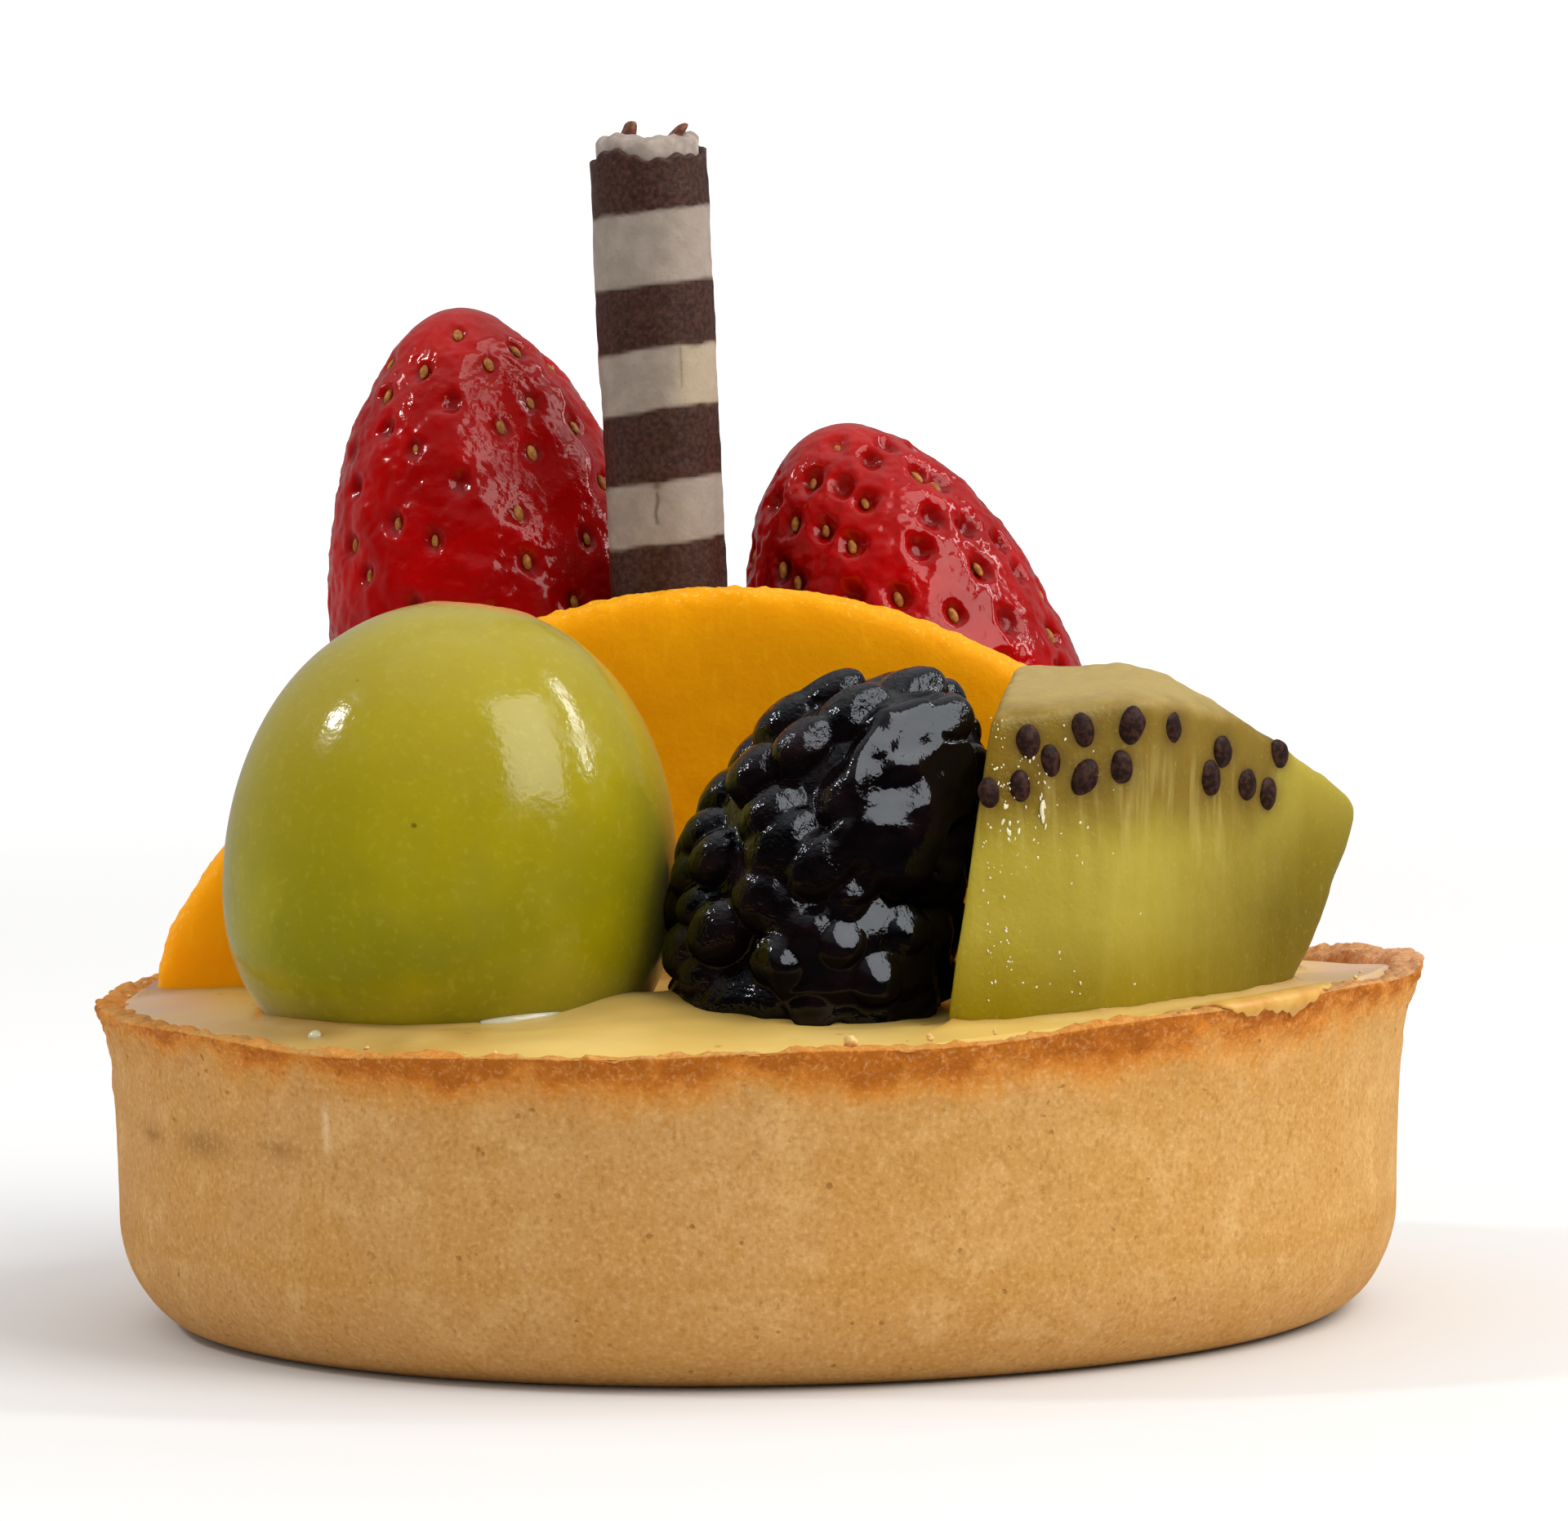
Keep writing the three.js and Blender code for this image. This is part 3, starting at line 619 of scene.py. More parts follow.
def makeGlaze():
    # Clear glaze left in the corner between the grape and the cream: shallow wet streaks, each
    # [first and last degree about the grape's foot, distance from it, half width, half thickness].
    # They are painted pale: painted highlights on the glaze.
    paint = Paint("glazeGlint", {"Roughness": 0.05, "IOR": 1.5, "Subsurface Weight": 0.5,
                                 "Subsurface Scale": 1.0 * mm, "Subsurface Radius": (1.0, 0.7, 0.3)})
    # Painted highlight: the streaks' pale colour.
    base = paint.mix(paint.noise(1.5, 2), shade(196, 184, 136), shade(240, 232, 210))
    paint.feed("Base Color", base)
    paint.bump(paint.noise(0.8, 2), 0.05, 0.5)
    for number, (first, last, away, wide, thick) in enumerate(glazeStreaks):
        steps, around = grid(60, 24)
        swell = np.sin(math.pi * (0.02 + 0.96 * steps)) ** 0.5
        turn = np.radians(first + (last - first) * steps)
        reach = away + wide * swell * np.cos(around)
        x = grape["centre"][0] - 0.3 + reach * np.cos(turn)
        y = grape["centre"][1] + reach * np.sin(turn)
        level = custardTop(x, y)[0]
        points = stack(x, y, level + thick * swell * np.sin(around))
        points = points + 0.05 * lumps(points, 0.8, 26)[..., None]
        tubePiece(f"glaze{number + 1}", points, paint)
    print("glaze made")


# ---- grape ----

def grapePaint():
    paint = Paint("greenGrape", {"Subsurface Weight": 0.4, "Subsurface Scale": 3.0 * mm,
                                 "Subsurface Radius": (1.0, 0.85, 0.1), "IOR": 1.45,
                                 "Specular Tint": (1, 1, 0.94, 1), "Sheen Weight": 0.16,
                                 "Sheen Roughness": 0.35, "Sheen Tint": (1, 1, 0.86, 1)})
    low = paint.rise(paint.axis("Z"), 41, 20)
    base = paint.mix(low, shade(162, 145, 24), shade(131, 126, 0))
    base = paint.mix(paint.rise(paint.noise(7.0, 3), 0.38, 0.66) * 0.4, base, shade(168, 154, 8))
    base = paint.mix(paint.rise(paint.noise(0.5, 3), 0.52, 0.75) * 0.15, base, shade(208, 194, 70))
    dots = paint.rise(paint.cells(3.4) + (paint.noise(0.3, 1) - 0.5) * 0.05, 0.06, 0.03)
    base = paint.mix(dots * 0.8, base, shade(96, 78, 10))
    scar = paint.attribute("scar")
    base = paint.mix(paint.rise(scar, 0.02, 0.3), base, shade(186, 124, 22))
    base = paint.mix(paint.rise(scar, 0.7, 1.0) * 0.8, base, shade(120, 76, 28))
    paint.feed("Base Color", base)
    paint.feed("Roughness", 0.13 + paint.rise(paint.noise(2.4, 3), 0.42, 0.7) * 0.1 + scar * 0.25)
    paint.bump(paint.noise(0.5, 2) + paint.noise(1.8, 2) * 0.9, 0.045, 0.5)
    return paint


def makeGrape():
    # Two half superellipsoids on one axis, a little taller above, leaning to +X, with a sunken scar.
    steps, angles = grid(190, 260)
    slope = math.pi * (steps * 0.998 + 0.001 - 0.5)
    upper = slope > 0
    power = np.where(upper, 2.1, 2.4)
    height = np.where(upper, grape["up"], grape["down"]) * np.sin(slope)
    width = grape["width"] * np.clip(1 - np.abs(np.sin(slope)) ** power, 0, 1) ** (1 / power)
    points = stack(width * np.cos(angles), width * np.sin(angles), height + 0 * angles)
    points = points * (1 + 0.008 * lumps(points, 9.0, 31) - 0.004)[..., None]
    scarAway = np.hypot(points[..., 0] - 0.9, (points[..., 1] - 0.2) * 1.3)
    ragged = scarAway + 0.35 * lumps(points, 0.9, 32)
    scar = np.where(upper, np.exp(-(ragged / 2.1) ** 4), 0)
    points[..., 2] -= 0.28 * scar * (1 - 0.5 * np.exp(-(scarAway / 0.8) ** 2))
    points[..., 2] += 0.1 * np.where(upper, np.exp(-((ragged - 2.5) / 0.45) ** 2), 0)
    placed = turned(points, grape["lean"], grape["centre"])
    mark = np.where(upper, np.exp(-(ragged / 3.3) ** 8), 0)
    tubePiece("grapeFine", placed, grapePaint(), ["grape"], {"scar": mark * (0.4 + 0.6 * scar)})
    print("grape made")


# ---- bramble ----

def barrelReach(direction, shrink):
    # Distance from the centre to a blunt barrel along unit directions.
    z = direction[..., 2]
    power = np.where(z > 0, 2.4, 3.6)
    side = np.hypot(direction[..., 0], direction[..., 1]) / (bramble["width"] - shrink)
    rise = np.abs(z) / (np.where(z > 0, bramble["up"], bramble["down"]) - shrink)
    return (side ** power + rise ** power) ** (-1 / power)


def bramblePaint():
    paint = Paint("darkBramble", {"Specular IOR Level": 0.5, "IOR": 1.45, "Specular Tint": (0.82, 0.9, 1, 1)})
    base = paint.mix(paint.rise(paint.noise(3.0, 3), 0.4, 0.7), shade(5, 3, 4), shade(18, 9, 11))
    base = paint.mix(paint.attribute("bloom") * 0.5, base, shade(42, 27, 29))
    paint.feed("Base Color", base)
    rough = paint.rise(paint.noise(1.6, 3), 0.45, 0.7)
    paint.feed("Roughness", 0.06 + rough * 0.1 + paint.attribute("bloom") * 0.2)
    crinkle = paint.noise(0.55, 2) + paint.noise(0.25, 2) * 0.4
    paint.bump(crinkle * (1.0 - paint.attribute("pooled") * 0.7), 0.14, 0.75)
    # Painted shade: faces turned down go near-black and lose their reflections.
    paint.paintedShade("under", shade(9, 5, 6), 0.9)
    return paint


def spot(x, z, middle, reach, turn=0.0):
    # A soft oval from 1 at its middle to 0 outside, for arrays of x and z.
    across = (x - middle[0]) * math.cos(turn) + (z - middle[1]) * math.sin(turn)
    along = (z - middle[1]) * math.cos(turn) - (x - middle[0]) * math.sin(turn)
    return np.exp(-((across / reach[0]) ** 2 + (along / reach[1]) ** 2) ** 1.5)


def softLower(first, second, sharp):
    # The smaller of two, rounded where they meet.
    return -np.log(np.exp(-sharp * (first - 9)) + np.exp(-sharp * (second - 9))) / sharp + 9


def makeBramble():
    # Beads on a barrel, blended by a soft maximum and flattened a little at the barrel's outline.
    # Glaze has pooled in two slanting sheets, from which only the tips of the beads stand out.
    steps, angles = grid(260, 380)
    slope = math.pi * (steps * 0.996 + 0.002 - 0.5)
    direction = stack(np.cos(slope) * np.cos(angles), np.cos(slope) * np.sin(angles), np.sin(slope) + 0 * angles)
    barrel = barrelReach(direction, 0)
    # The glaze spreads at the foot.
    flare = np.clip((bramble["flareFrom"] - direction[..., 2] * barrel) / 3.6, 0, 1)
    flare = bramble["flare"] * flare * flare * (3 - 2 * flare)
    flare = flare * (1 + 0.5 * np.clip(-direction[..., 0], 0, 1))
    # It bulges a little against the wedge beside it.
    hug = np.exp(-((direction[..., 2] * barrel - bramble["hugHeight"]) / bramble["hugReach"]) ** 2)
    flare = flare + bramble["hug"] * hug * np.clip(direction[..., 0], 0, 1) ** 3
    outline = barrel + flare
    half = unit(np.array(bramble["half"]))
    draw = np.random.default_rng(bramble["seed"])
    skin = direction * outline[..., None]
    front = skin[..., 1] < 0
    x, z = skin[..., 0], skin[..., 2]
    ragged = lumps(skin, 2.2, 41)
    base = np.clip((-5.4 - z) / 1.6, 0, 1)
    back = np.where(front, 0, np.clip(0.2 + ragged, 0, 0.8))
    soft = np.clip(np.maximum(back, base * 0.6) + 0.25 * ragged, 0, 1)
    core = barrelReach(direction, 1.7) + soft * 1.3 + flare * 0.8
    sharp = 7.0 - 4.0 * soft
    total = np.exp(sharp * (core - 10))
    count = bramble["drupelets"]
    for index in range(count):
        level = 1 - (2 * index + 1) / count
        ring = math.sqrt(1 - level * level)
        turn = index * goldenAngle + draw.uniform(-0.2, 0.2) / max(ring, 0.3)
        facing = unit(np.array([ring * math.cos(turn), ring * math.sin(turn), level + draw.uniform(-0.06, 0.06)]))
        size = bramble["bead"] * draw.uniform(0.68, 1.22)
        depth = barrelReach(facing, 0) - size + draw.uniform(-0.15, 0.4)
        towards = direction @ facing
        miss = size ** 2 - depth ** 2 * (1 - towards ** 2)
        hit = depth * towards + np.sqrt(np.clip(miss, 0, None)) - 3 * np.sqrt(np.clip(-miss, 0, None))
        # Each bead is flattened towards one side, as if the glaze had run off it.
        side = (depth * (facing @ half) + size * draw.uniform(0.8, 0.92)) / np.maximum(direction @ half, 0.2)
        if facing @ half > 0.3:
            hit = softLower(hit, np.maximum(side, hit - 0.6), 9.0)
        total = total + np.where(towards > 0, np.exp(sharp * (hit - 10)), 0)
    reach = 10 + np.log(total) / sharp
    tips = reach - barrel
    reach = softLower(reach, outline + bramble["flatten"], 5.0)
    pooled = 0
    for sheet in bramble["sheets"]:
        facing = unit(np.array(sheet["facing"]))
        ripple = sheet["ripple"] * (lumps(skin, 2.6, 43) + 0.6 * lumps(skin, 1.2, 45))
        level = (sheet["distance"] + ripple) / np.maximum(direction @ facing, 0.2)
        level = softLower(level, outline + sheet["proud"] + ripple - bramble["tuck"] * base, 4.0)
        level = level + sheet["show"] * np.clip(tips + sheet["above"], 0, None)
        away = spot(x + 1.0 * ragged, z + 1.0 * lumps(skin, 2.0, 46), sheet["middle"], sheet["reach"], sheet["turn"])
        inside = front * np.clip((away - 0.25) / 0.35, 0, 1)
        inside = inside * inside * (3 - 2 * inside)
        reach = reach + inside * (level - reach)
        pooled = np.maximum(pooled, inside)
    local = direction * (reach + 0.05 * lumps(skin, 0.9, 44) * (1 - pooled))[..., None]
    z = local[..., 2]
    lean = 0.22 * z + 0.012 * z * z
    points = local + stack(lean, 0 * z, 0 * z) + np.array(bramble["centre"])
    normal = unit(np.cross(np.gradient(points, axis=1), np.gradient(points, axis=0)))
    # Faces turned down, marked for painted shade.
    under = np.clip(0.25 - normal[..., 2] * 2.0, 0, 1)
    bloom = np.clip(lumps(points, 2.0, 42) * 1.2, 0, 1) * (1 - pooled)
    marks = {"bloom": bloom, "pooled": pooled, "under": under}
    tubePiece("brambleFine", points, bramblePaint(), ["bramble"], marks)
    print("bramble made")


# ---- kiwi ----

def kiwiPaint():
    paint = Paint("cutKiwi", {"Subsurface Weight": 0.4, "Subsurface Scale": 2.0 * mm,
                              "Subsurface Radius": (1.0, 0.9, 0.2), "IOR": 1.42,
                              "Specular Tint": (1, 0.96, 0.6, 1)})
    depth = paint.attribute("depth")
    wobble = depth + (paint.noise(2.5, 3) - 0.5) * 1.6
    core = shade(172, 148, 86)
    olive = shade(128, 102, 26)
    middle = shade(168, 151, 50)
    rind = shade(143, 124, 0)
    base = paint.mix(paint.rise(wobble, 0.1, 1.6), core, olive)
    base = paint.mix(paint.rise(wobble, 5.5, 9.5), base, middle)
    base = paint.mix(paint.rise(wobble, 12.0, 18.0), base, rind)
    # The outer mark: darker green by the rind, and in part painted shade on the right flat.
    base = paint.mix(paint.attribute("outer") * 0.9, base, shade(112, 94, 0))
    fibres = paint.rise(paint.noise(0.7, 2, (1, 1, 0.09)), 0.5, 0.72)
    beneath = paint.rise(depth, 2.5, 5.0) * paint.rise(depth, 12, 6.5)
    base = paint.mix(fibres * beneath * 0.28, base, shade(196, 180, 100))
    # Painted highlight along the crease.
    base = paint.mix(paint.attribute("crease") * 0.5, base, shade(212, 196, 120))
    halo = paint.attribute("halo")
    base = paint.mix(halo * 0.8, base, shade(84, 58, 22))
    specks = paint.rise(paint.noise(0.28, 2), 0.6, 0.78)
    base = paint.mix(specks * 0.2, base, shade(204, 190, 96))
    paint.feed("Base Color", base)
    wet = paint.attribute("wet")
    paint.feed("Roughness", 0.34 + paint.noise(0.6, 3) * 0.2 - wet * 0.24)
    fine = paint.noise(0.3, 3) * 0.4 + paint.noise(1.0, 2, (1, 1, 0.4)) * 0.3
    paint.bump(fine + paint.noise(0.45, 2) * wet * 0.5, 0.14, 0.8)
    return paint


def seedPaint(name, dark, pale, shine=0.4):
    paint = Paint(name, {"Specular IOR Level": shine})
    base = paint.mix(paint.rise(paint.noise(0.35, 3), 0.4, 0.68), shade(*dark), shade(*pale))
    paint.feed("Base Color", base)
    paint.feed("Roughness", 0.4 + paint.noise(0.3, 2) * 0.25)
    paint.bump(paint.noise(0.12, 3), 0.04, 0.7)
    return paint


# Seeds as [millimetres right of the crease, millimetres below its top, tilt, size].
kiwiSeeds = {
    "left": [(-7.2, 2.3, 0.1, 1), (-3.9, 1.8, 0.1, 1), (-1, 1.6, -0.3, 1.15), (-5.9, 3.4, 0.1, 0.9),
             (-3.9, 4.4, -0.5, 1.1), (-1.7, 3.9, 0, 1), (-7.8, 4.8, 0.1, 0.95), (-9.6, 5.1, 0.1, 0.9)],
    "right": [(2.6, 1.9, 0.1, 0.95), (7.5, 3.5, 0.2, 1), (6.4, 4.9, 0.1, 1.05), (9.9, 5.5, 0.4, 1),
              (12, 6.1, 0.1, 1), (13.1, 3.9, 0.6, 0.95)],
}


def kiwiSeedPlaces():
    # Seed centres and their three directions on the two front flats.
    normals, distances = kiwiPlanes()
    top = np.array(kiwi["corners"]["creaseTop"], float)
    centres, axes, sizes = [], [], []
    for flat, side in enumerate(["left", "right"]):
        normal = normals[flat]
        sideways = unit(np.cross([0, 0, 1.0], normal))
        upward = np.cross(normal, sideways)
        for right, below, tilt, size in kiwiSeeds[side]:
            long = math.cos(tilt) * upward - math.sin(tilt) * sideways
            across = np.cross(normal, long) * -1
            centres.append(top + right * sideways - below * upward - 0.16 * normal)
            axes.append([across, normal, long])
            sizes.append([(0.68 + 0.14 * flat) * size, 0.36 * size, 0.98 * size])
    return np.array(centres), np.array(axes), np.array(sizes)


def makeKiwi():
    # A star-shaped body about its heart: the inverse of the reach along a direction is the
    # p-norm of the inverse reaches to each flat and to the peeled outside, which rounds the edges.
    steps, angles = grid(kiwi["rows"], kiwi["columns"])
    slope = math.pi * (steps * 0.996 + 0.002 - 0.5)
    direction = stack(np.cos(slope) * np.cos(angles), np.cos(slope) * np.sin(angles), np.sin(slope) + 0 * angles)
    heart = np.array(kiwi["heart"], float)
    normals, distances = kiwiPlanes()
    inverse = np.clip(direction @ normals.T / (distances - normals @ heart), 0, None)
    offset = (heart - np.array(kiwi["skinCentre"])) / np.array(kiwi["skinRadii"])
    scaled = direction / np.array(kiwi["skinRadii"])
    square = (scaled ** 2).sum(-1)
    half = scaled @ offset
    skin = (-half + np.sqrt(half ** 2 + square * (1 - offset @ offset))) / square
    power = kiwi["sharpness"]
    whole = (inverse ** power).sum(-1) + (1 / skin) ** power
    reach = whole ** (-1 / power)
    points = heart + direction * reach[..., None]
    # Cut flesh: faint ribs that run down from the core and a fine tooth all over.
    plan = points * np.array([1, 1, 0.08])
    relief = 0.07 * lumps(plan, 0.75, 51) + 0.09 * lumps(points, 2.6, 52) + 0.035 * lumps(points, 0.6, 53) - 0.08
    points = points + direction * relief[..., None]
    centres, axes, sizes = kiwiSeedPlaces()
    halo = 0
    for centre in centres:
        halo = np.maximum(halo, np.exp(-(np.linalg.norm(points - centre, axis=-1) / 1.15) ** 2))
    # Depth below the core, which runs level on the left and falls away to the right.
    fall = np.clip(points[..., 0] - 22.5, 0, None)
    behind = np.clip(points[..., 1] + 20, 0, None)
    depth = 37.9 - points[..., 2] - 0.2 * fall - 0.1 * behind + 9 * np.clip((points[..., 0] - 28.5) / 3.5, 0, 1)
    # Painted highlight: a pale line down the crease between the two front flats, strongest a little below its top.
    crease = np.array(kiwi["corners"]["creaseTop"], float)
    down = unit(np.array(kiwi["corners"]["creaseFoot"], float) - crease)
    outwards = points - crease
    near = np.linalg.norm(outwards - (outwards @ down)[..., None] * down, axis=-1)
    walk = outwards @ down
    strong = np.exp(-((walk - 7) / 3.6) ** 2) + 0.3 * (walk > 4)
    creaseHighlight = np.exp(-(near / 0.28) ** 2) * (0.7 + 0.6 * lumps(points, 1.2, 54)) * strong
    # The cut left flat is wet and pitted; the right end turns dark green under the peeled rind,
    # and is painted darker still there as painted shade, to hold back the light on the right flat.
    leftFlat = np.clip(1 - np.abs(points @ normals[0] - distances[0]) / 0.8, 0, 1)
    wet = leftFlat * np.clip((19.5 - points[..., 0]) / 5, 0, 1) * np.clip(0.75 + 0.5 * lumps(points, 2.5, 56), 0, 1)
    outer = np.clip((points[..., 0] - 22) / 8, 0, 1) * np.clip((33.5 - points[..., 2]) / 9, 0, 1)
    marks = {"depth": depth, "halo": halo, "crease": np.clip(creaseHighlight, 0, 1), "wet": wet, "outer": outer}
    tubePiece("kiwiFine", points, kiwiPaint(), ["kiwi_wedge"], marks)
    beadsPiece("kiwiSeeds", centres, axes, sizes, seedPaint("kiwiSeed", (34, 16, 10), (66, 36, 26), 0.18),
               14, 20, 0.12, 55)
    makeDroplets(normals[0], distances[0])
    print("kiwi made")


def makeDroplets(normal, distance):
    # Wet grains on the cut left flat, each a tiny flattened bead, denser towards its left edge;
    # they are painted near-white, as painted glints where the wet flesh sparkles.
    draw = np.random.default_rng(57)
    count = 900
    sideways = unit(np.cross([0, 0, 1.0], normal))
    upward = np.cross(normal, sideways)
    crease = np.array(kiwi["corners"]["creaseTop"], float)
    right = -0.8 - 9.4 * draw.uniform(0, 1, count) ** 0.7
    below = 0.8 + 15.8 * draw.uniform(0, 1, count)
    bunched = 0
    for across, low, wide, high in [(-8.4, 7.0, 0.5, 1.7), (-6.6, 6.1, 0.5, 1.6), (-7.1, 2.6, 0.4, 0.8)]:
        bunched = bunched + np.exp(-((right - across) / wide) ** 2 - ((below - low) / high) ** 2)
    kept = draw.uniform(0, 1, count) < 0.07 + 0.9 * bunched + 0.3 * (right < -8.6)
    kept = kept & (right > -9.3 - 0.11 * below)
    radius = draw.uniform(0.03, 0.07, count) * (1 + 2.0 * bunched * draw.uniform(0, 1, count) ** 2)
    long = draw.uniform(0.8, 1.7, count) * (1 + 0.9 * bunched)
    places = crease + right[:, None] * sideways - below[:, None] * upward
    places = places - ((places @ normal - distance)[:, None] + 0.04) * normal
    spin = (draw.uniform(-0.9, 0.9, count) * (1 - 0.7 * bunched))[:, None]
    across = np.cos(spin) * sideways + np.sin(spin) * upward
    axes = np.stack([across, np.broadcast_to(normal, (count, 3)), np.cross(across, normal)], axis=1)
    sizes = np.stack([radius, radius * 0.6, radius * long], axis=1)
    # Painted glints: the grains' near-white colour.
    paint = Paint("kiwiJuiceGlints", {"IOR": 1.45, "Roughness": 0.1, "Specular IOR Level": 0.9})
    paint.feed("Base Color", paint.mix(paint.noise(0.5, 1), shade(206, 198, 140), shade(252, 248, 222)))
    beadsPiece("kiwiDroplets", places[kept], axes[kept], sizes[kept], paint, 5, 7, 0.5, 58)


# ---- peach ----

def peachPaint():
    # Painted light: the flesh glows faintly orange (emission), a stand-in for light shining through it.
    paint = Paint("cutPeach", {"Subsurface Weight": 0.4, "Subsurface Scale": 2.5 * mm,
                               "Subsurface Radius": (1.0, 0.55, 0.05), "IOR": 1.4, "Specular IOR Level": 0.35,
                               "Specular Tint": (1, 0.75, 0.2, 1), "Emission Strength": 0.07})
    # The lower part is painted lighter, as painted light against the shade it stands in between the grape and the
    # bramble.
    depth = paint.rise(paint.axis("Z"), 40, 18)
    base = paint.mix(depth, shade(226, 150, 0), shade(250, 156, 0))
    base = paint.mix(paint.rise(paint.noise(5.0, 4), 0.4, 0.7) * 0.35, base, shade(246, 172, 2))
    strands = paint.rise(paint.noise(0.6, 3, (1, 1, 0.35)), 0.52, 0.75)
    base = paint.mix(strands * 0.2, base, shade(250, 190, 30))
    flecks = paint.rise(paint.noise(0.3, 2), 0.66, 0.76)
    base = paint.mix(flecks * 0.25, base, shade(255, 200, 40))
    # Painted light: the colour of the flesh's faint glow.
    paint.feed("Emission Color", paint.mix(depth, shade(255, 170, 0), shade(255, 174, 0)))
    # Pale specks along the cut top edge: fibres, painted pale as painted highlights on them.
    fuzzGlints = paint.rise(paint.noise(0.3, 3), 0.55, 0.68) * paint.attribute("top")
    base = paint.mix(fuzzGlints * 0.6, base, shade(252, 206, 96))
    paint.feed("Base Color", base)
    paint.feed("Roughness", 0.4 + paint.noise(1.0, 3) * 0.25)
    paint.bump(paint.noise(0.4, 3) * 0.8 + paint.noise(2.2, 2) * 0.6 + fuzzGlints * 0.5, 0.1, 0.6)
    return paint


def makePeach():
    # A boxy section, |a|^n + |b|^n = 1, carried over an arch between an outer and an inner arc.
    rows, columns = 300, 210
    arc = np.radians(np.linspace(19, 163.5, rows))[:, None]
    turn = np.linspace(0, turnOf, 4001)[:-1]
    power = 2 / 7.5
    across = np.sign(np.cos(turn)) * np.abs(np.cos(turn)) ** power
    deep = np.sign(np.sin(turn)) * np.abs(np.sin(turn)) ** power
    walk = np.hypot(np.diff(across, append=across[0]) * 8, np.diff(deep, append=deep[0]) * 4) + 1e-5
    share = np.concatenate([[0], np.cumsum(walk)[:-1]]) / walk.sum()
    even = np.arange(columns) / columns
    across = np.interp(even, share, across)[None, :]
    deep = np.interp(even, share, deep)[None, :]
    overhang = np.clip(np.abs(np.degrees(arc) - 90) - 62, 0, None)
    outer = peach["outerRadius"] - 0.0173 * overhang ** 2
    lower = peach["outerCentre"]
    inner = -lower * np.sin(arc) + np.sqrt(peach["innerRadius"] ** 2 - (lower * np.cos(arc)) ** 2)
    radial = (outer + inner) / 2 + across * (outer - inner) / 2
    depth = (peach["back"] + peach["front"]) / 2 + deep * (peach["back"] - peach["front"]) / 2
    points = stack(peach["middle"] + radial * np.cos(arc), depth, lower + radial * np.sin(arc))
    outwards = unit(stack(across * np.cos(arc), deep + 0 * arc, across * np.sin(arc)))
    edge = np.clip((across - 0.9) * 10, 0, 1)
    relief = 0.16 * lumps(points, 6.0, 61) + 0.04 * lumps(points, 1.6, 62) - 0.1
    relief = relief + edge * (0.15 * lumps(points, 0.9, 63) + 0.1 * lumps(points, 0.45, 64))
    points = points + outwards * relief[..., None]
    tubePiece("peachFine", points, peachPaint(), ["peach_slice"], {"top": edge})
    print("peach made")


# ---- strawberries ----

def berryPaint():
    paint = Paint("glazedStrawberry", {"Subsurface Weight": 0.2, "Subsurface Scale": 1.2 * mm,
                                       "Subsurface Radius": (1.0, 0.05, 0.03), "IOR": 1.42, "Specular IOR Level": 0.48,
                                       "Specular Tint": (1, 0.76, 0.74, 1)})
    base = paint.mix(paint.rise(paint.noise(6.0, 3), 0.35, 0.7), shade(146, 0, 0), shade(172, 1, 1))
    base = paint.mix(paint.attribute("pit") * 0.85, base, shade(112, 0, 0))
    base = paint.mix(paint.rise(paint.noise(0.5, 3), 0.55, 0.75) * 0.12, base, shade(190, 14, 10))
    base = paint.mix(paint.attribute("tip") * 0.4, base, shade(190, 30, 18))
    paint.feed("Base Color", base)
    paint.feed("Roughness", 0.12 + paint.rise(paint.noise(2.2, 3), 0.4, 0.7) * 0.12)
    crinkle = paint.rise(paint.noise(4.0, 2), 0.42, 0.6) * 0.8 + 0.25
    paint.bump(paint.noise(0.5, 2) * crinkle * 0.5 + paint.noise(1.5, 2), 0.15, 0.8)
    return paint


def shaved(points, facing, depth, share):
    # The cut for shave: points farther out along facing than depth below the farthest are to be drawn part of the way
    # in.
    normal = unit(np.array(facing))
    along = points.reshape(-1, 3) @ normal
    return normal, along.max() - depth, share


def shave(points, cut):
    normal, level, share = cut
    over = np.clip(points @ normal - level, 0, None)
    return points - (share * over)[..., None] * normal


def berryRadius(berry, share):
    # Round from the cut to the belly, and a blunt nose from there: w(1 - away^nose)^(1/2).
    low = np.clip(1 - share / berry["belly"], 0, 1)
    high = np.clip((share - berry["belly"]) / (1 - berry["belly"]), 0, 1)
    below = np.sqrt(berry["width"] ** 2 - (berry["width"] ** 2 - berry["cut"] ** 2) * low ** 2)
    above = berry["width"] * np.sqrt(1 - high ** berry["nose"])
    return np.where(share < berry["belly"], below, above)


